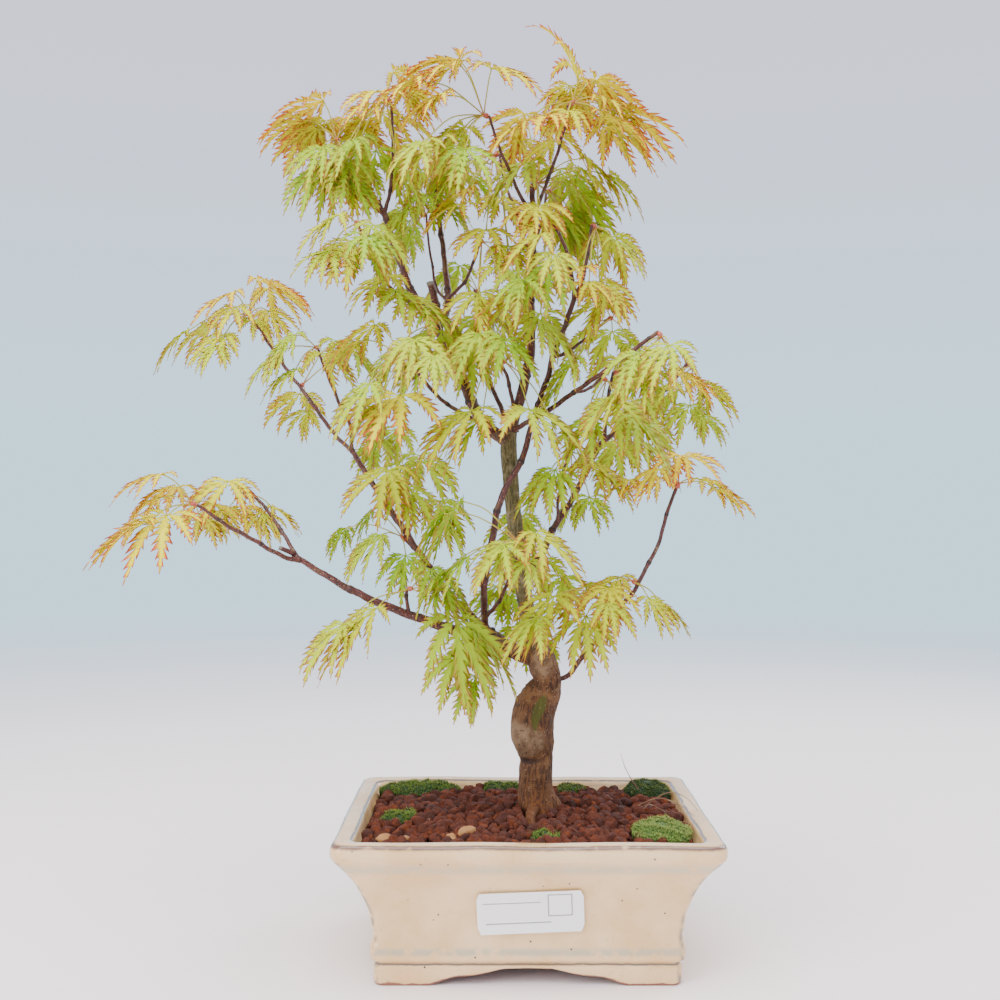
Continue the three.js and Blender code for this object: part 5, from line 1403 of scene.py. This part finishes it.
# Rows of a tooth: where each is in the tooth's stretch, how wide, and how far it slants on.
TEETH = 7
ROW_PLACE = np.array([0.0, 0.32, 0.62, 0.84])
ROW_WIDTH = np.array([0.26, 0.55, 1.0, 0.42])
ROW_SLANT = np.array([0.0, 0.35, 1.15, 0.45])
ACROSS = np.array([0.0, 0.5, 1.0, 0.5, 0.0, -0.5, -1.0, -0.5])
THROUGH = np.array([1.0, 0.7, 0.0, -0.7, -1.0, -0.7, 0.0, 0.7])
BLADE_HALF_THICK = 0.11
LOBE_HALF_WIDTH = 0.12


def make_lobe(hub, first, face, length, droop, seed, **values):
    """A toothed lobe. Its midrib starts in the first direction and is pulled down more and more
    along its length; its width follows a skewed arch times the tooth rows; its halves fold up."""
    draw = np.random.default_rng(seed)
    share = np.concatenate([[0.0, 0.06], (0.12 + 0.8 * ((np.arange(TEETH)[:, None] + ROW_PLACE)
                                                        / TEETH)).ravel(), [0.95, 1.0]])
    tooth = np.concatenate([[0.3, 0.25], np.tile(ROW_WIDTH, TEETH), [0.5, 0.3]])
    slant = np.concatenate([[0.0, 0.0], np.tile(ROW_SLANT, TEETH), [0.2, 0.0]])
    arch = np.sin(np.pi * share**0.82) ** 1.15 + 0.02
    half = length * LOBE_HALF_WIDTH * arch * tooth + 0.12
    pull = droop * share**1.2
    heading = unit(first[None] + pull[:, None] * [0.0, 0.0, -1.0])
    bow = draw.uniform(-0.25, 0.25) * np.sin(share * np.pi)
    heading = unit(heading + bow[:, None] * np.cross(face, first)[None])
    steps = np.diff(share, prepend=0.0)[:, None] * heading * length
    middle = hub + np.cumsum(steps, axis=0)
    normal = unit(face[None] - (heading @ face)[:, None] * heading)
    roll = draw.uniform(-0.5, 0.5) * share
    aside = np.cross(heading, normal)
    normal, aside = (normal * np.cos(roll)[:, None] + aside * np.sin(roll)[:, None],
                     aside * np.cos(roll)[:, None] - normal * np.sin(roll)[:, None])
    uneven = 1 + draw.uniform(-0.22, 0.22, (len(share), 1)) * np.sign(ACROSS)
    reach = half[:, None] * ACROSS * uneven
    forward = (half * slant)[:, None] * np.abs(ACROSS)
    fold = 0.32 * np.abs(reach) + 0.25 * np.sin(share * 22 + seed)[:, None] * np.abs(ACROSS)
    lift = fold + BLADE_HALF_THICK * THROUGH * (1 + 1.2 * (1 - share))[:, None]
    points = (middle[:, None] + reach[..., None] * aside[:, None]
              + forward[..., None] * heading[:, None] + lift[..., None] * normal[:, None])
    edge = np.abs(ACROSS) * (0.45 + 0.55 * tooth)[:, None]
    return skin(points, edge=edge, along=share[:, None], **values)


def make_leaf_skins(hub, bud, leaf, seed):
    """All lobes of one leaf. Hub, aim and length come from its row, and every lobe droops more
    the older the leaf is. A leaf that would leave the object's box is moved back into it."""
    aim, side, face = leaf_axes(hub, bud, leaf, seed)
    _, _, _, length, age, *_ = leaf
    tone = scatter(seed * 2.3)
    skins = []
    for number, (degrees, share) in enumerate(LOBES):
        angle = np.radians(degrees + 14 * (scatter(seed + 17 * number) - 0.5))
        first = unit(aim * np.cos(angle) + side * np.sin(angle) + 0.25 * face)
        reach = length * share * (0.94 + 0.12 * scatter(seed * 7 + number))
        droop = 0.85 + 1.05 * age + 0.6 * scatter(seed * 3 + number)
        skins.append(make_lobe(hub, first, face, reach, droop, seed * 10 + number,
                               age=age, tone=tone))
    everything = np.vstack([one["points"] for one in skins])
    back = np.minimum(crown_high - everything.max(0), 0) + np.maximum(
        crown_low - everything.min(0), 0)
    for one in skins:
        one["points"] = one["points"] + back
    return skins, hub + back


def companion(leaf, seed):
    """Another, smaller leaf at the same bud: its hub is some millimetres aside and below."""
    x, y, z, length, age, *_ = leaf
    angle = 2 * np.pi * scatter(seed * 1.9)
    aside = 9.0 + 7.0 * scatter(seed * 4.1)
    place = (x + aside * np.cos(angle), y + aside * np.sin(angle), z - 3.0 - 9.0 * scatter(seed))
    return (*place, length * (0.72 + 0.2 * scatter(seed * 6.1)), min(age + 0.12, 1.0))


print("rows in a lobe:", 4 + TEETH * len(ROW_PLACE))

# %% Stalks, buds and sprays
# The first sprays in the table are the crown's top, where the growth is fullest.
FULL_SPRAYS = 8


def make_stalk(bud, hub, foot):
    """A stalk from the wood to the hub, bowed upwards a little, thicker at its foot."""
    bend = bud * 0.45 + hub * 0.55 + [0, 0, 0.12 * np.linalg.norm(hub - bud)]
    path = smooth_path([foot, bud, bend, hub], 1.3)
    share = np.linspace(0, 1, len(path))
    radius = 0.42 - 0.1 * share + 0.35 * np.exp(-share * 14) + 0.2 * bell(share, 1, 0.03)
    return skin(tube(path, radius, 7, (0.2, 0.9, 0.4)), along=share[:, None])


def make_bud(bud, middle, seed):
    """A pointed bud: its radius rises fast from the twig and falls slowly to its tip."""
    out = unit(bud - middle)
    share = np.linspace(0, 1, 12)
    start = middle + out * max(np.linalg.norm(bud - middle) - BUD_RADIUS - 1.2, 0)
    path = start + share[:, None] * out * (BUD_RADIUS * 2 + 1.6)
    radius = BUD_RADIUS * 0.95 * np.sin(np.pi * share**0.7) ** 0.8 + 0.08
    surface = tube(path, radius, 12, (0.4, 0.3, 0.9))
    return skin(surface + 0.1 * lumps(surface, 1.4, seed)[..., None] * out, along=0.0)


def finish_slot(number):
    """The record's finish for a spray: young at the tips, green inside the crown."""
    if number in YOUNG_SPRAYS:
        return "leaf_young"
    return "leaf_mid" if number in MIDDLE_SPRAYS else "leaf_green"


for index, (bud_place, leaves) in enumerate(SPRAYS):
    bud, middle = place_bud(bud_place, leaves)
    blades, stalks = [], [make_bud(bud, middle, index + 500)]
    for order, leaf in enumerate(leaves):
        seed = index * 10 + order + 1
        extras = 2 if index < FULL_SPRAYS else 1
        bunch = [leaf] + [companion(leaf, seed + 31 * extra) for extra in range(extras)]
        for pair, grown_leaf in enumerate(bunch):
            hub = place_hub(grown_leaf, bud)
            lobes, hub = make_leaf_skins(hub, bud, grown_leaf, seed + 700 * pair)
            blades += lobes
            stalks.append(make_stalk(bud, hub, middle))
    spray = put_piece(f"spray_{index + 1:02d}_leaves",
                      [(leaf_finish, blades), (stalk_finish, stalks)])
    settle(spray, finish_slot(index + 1), f"leaf_spray_{index + 1:02d}")

# %% [markdown]
# ## Floor and light
#
# The tree stands on a plain pale floor in soft light from all round, as in a white tent. The
# sky goes from pale blue at the horizon to a lilac grey above. Three large soft lamps, one
# overhead, one at the front left and one at the rear right, give the leaves their form.

# %% Floor
FLOOR_RADIUS = 3000.0
HORIZON_BLUE = "#bddff3"
SKY_STRENGTH = 1.85


def make_floor():
    """A wide round floor: matte white near the pot, melting into the sky's blue far away."""
    material, tree, shader = start_material("matte_paper_floor", Roughness=0.85)
    where = add(tree, "TexCoord").outputs["Object"]
    away = add(tree, "VectorMath", {0: where}, operation="LENGTH").outputs["Value"]
    tooth = noise(tree, where, 1.5, 2.0)
    near = blend(tree, tooth, "#f2e9e4", "#f8f0ec")
    tree.links.new(near, shader.inputs["Base Color"])
    far = add(tree, "Emission", {"Color": linear(HORIZON_BLUE), "Strength": SKY_STRENGTH})
    mix_surface(tree, shader, ramp(tree, away, 0.35, 2.2), far)
    rings = np.linspace(1.0, 0.02, 24)[:, None] ** 2 * FLOOR_RADIUS
    angle = (np.arange(96) * 2 * np.pi / 96)[None, :]
    top = np.stack([rings * np.cos(angle), rings * np.sin(angle), 0 * rings * angle - 0.05], -1)
    base = top[:1] - [0, 0, 5.0]
    floor = put_piece("pale_floor", [(material, [skin(np.concatenate([base, top]))])])
    return floor


floor = make_floor()
print("floor radius in m:", FLOOR_RADIUS * MM)

# %% Sky and lamps
def make_sky():
    """Background that goes by height from pale blue to lilac grey."""
    world = bpy.data.worlds.new("soft_tent")
    world.use_nodes = True
    bpy.context.scene.world = world
    tree = world.node_tree
    ray = add(tree, "TexCoord").outputs["Generated"]
    up = add(tree, "SeparateXYZ", {0: ray}).outputs["Z"]
    colour = blend(tree, ramp(tree, up, 0.02, 0.40), HORIZON_BLUE, "#cfcfe0")
    tree.links.new(colour, tree.nodes["Background"].inputs["Color"])
    tree.nodes["Background"].inputs["Strength"].default_value = SKY_STRENGTH


LAMPS = [
    # name, place in mm from the pot's middle, size in mm, power in watts
    ("overhead_softbox", (-150, -350, 1250), 1100, 26.0),
    ("front_left_softbox", (-900, -900, 700), 800, 13.0),
    ("rear_right_softbox", (800, 600, 800), 700, 8.0),
]


def make_lamps():
    """Square lamps that face the middle of the crown."""
    target = POT_CENTRE + [0, 0, 200.0]
    for name, place, size, power in LAMPS:
        data = bpy.data.lights.new(name, "AREA")
        data.shape, data.size, data.energy = "SQUARE", size * MM, power
        lamp = bpy.data.objects.new(name, data)
        place = POT_CENTRE + np.array(place, float)
        lamp.location = place * MM
        towards = (target - place) * MM
        lamp.rotation_euler = Vector(towards).to_track_quat("-Z", "Y").to_euler()
        bpy.context.scene.collection.objects.link(lamp)


make_sky()
make_lamps()
print("lamps:", ", ".join(name for name, *_ in LAMPS))
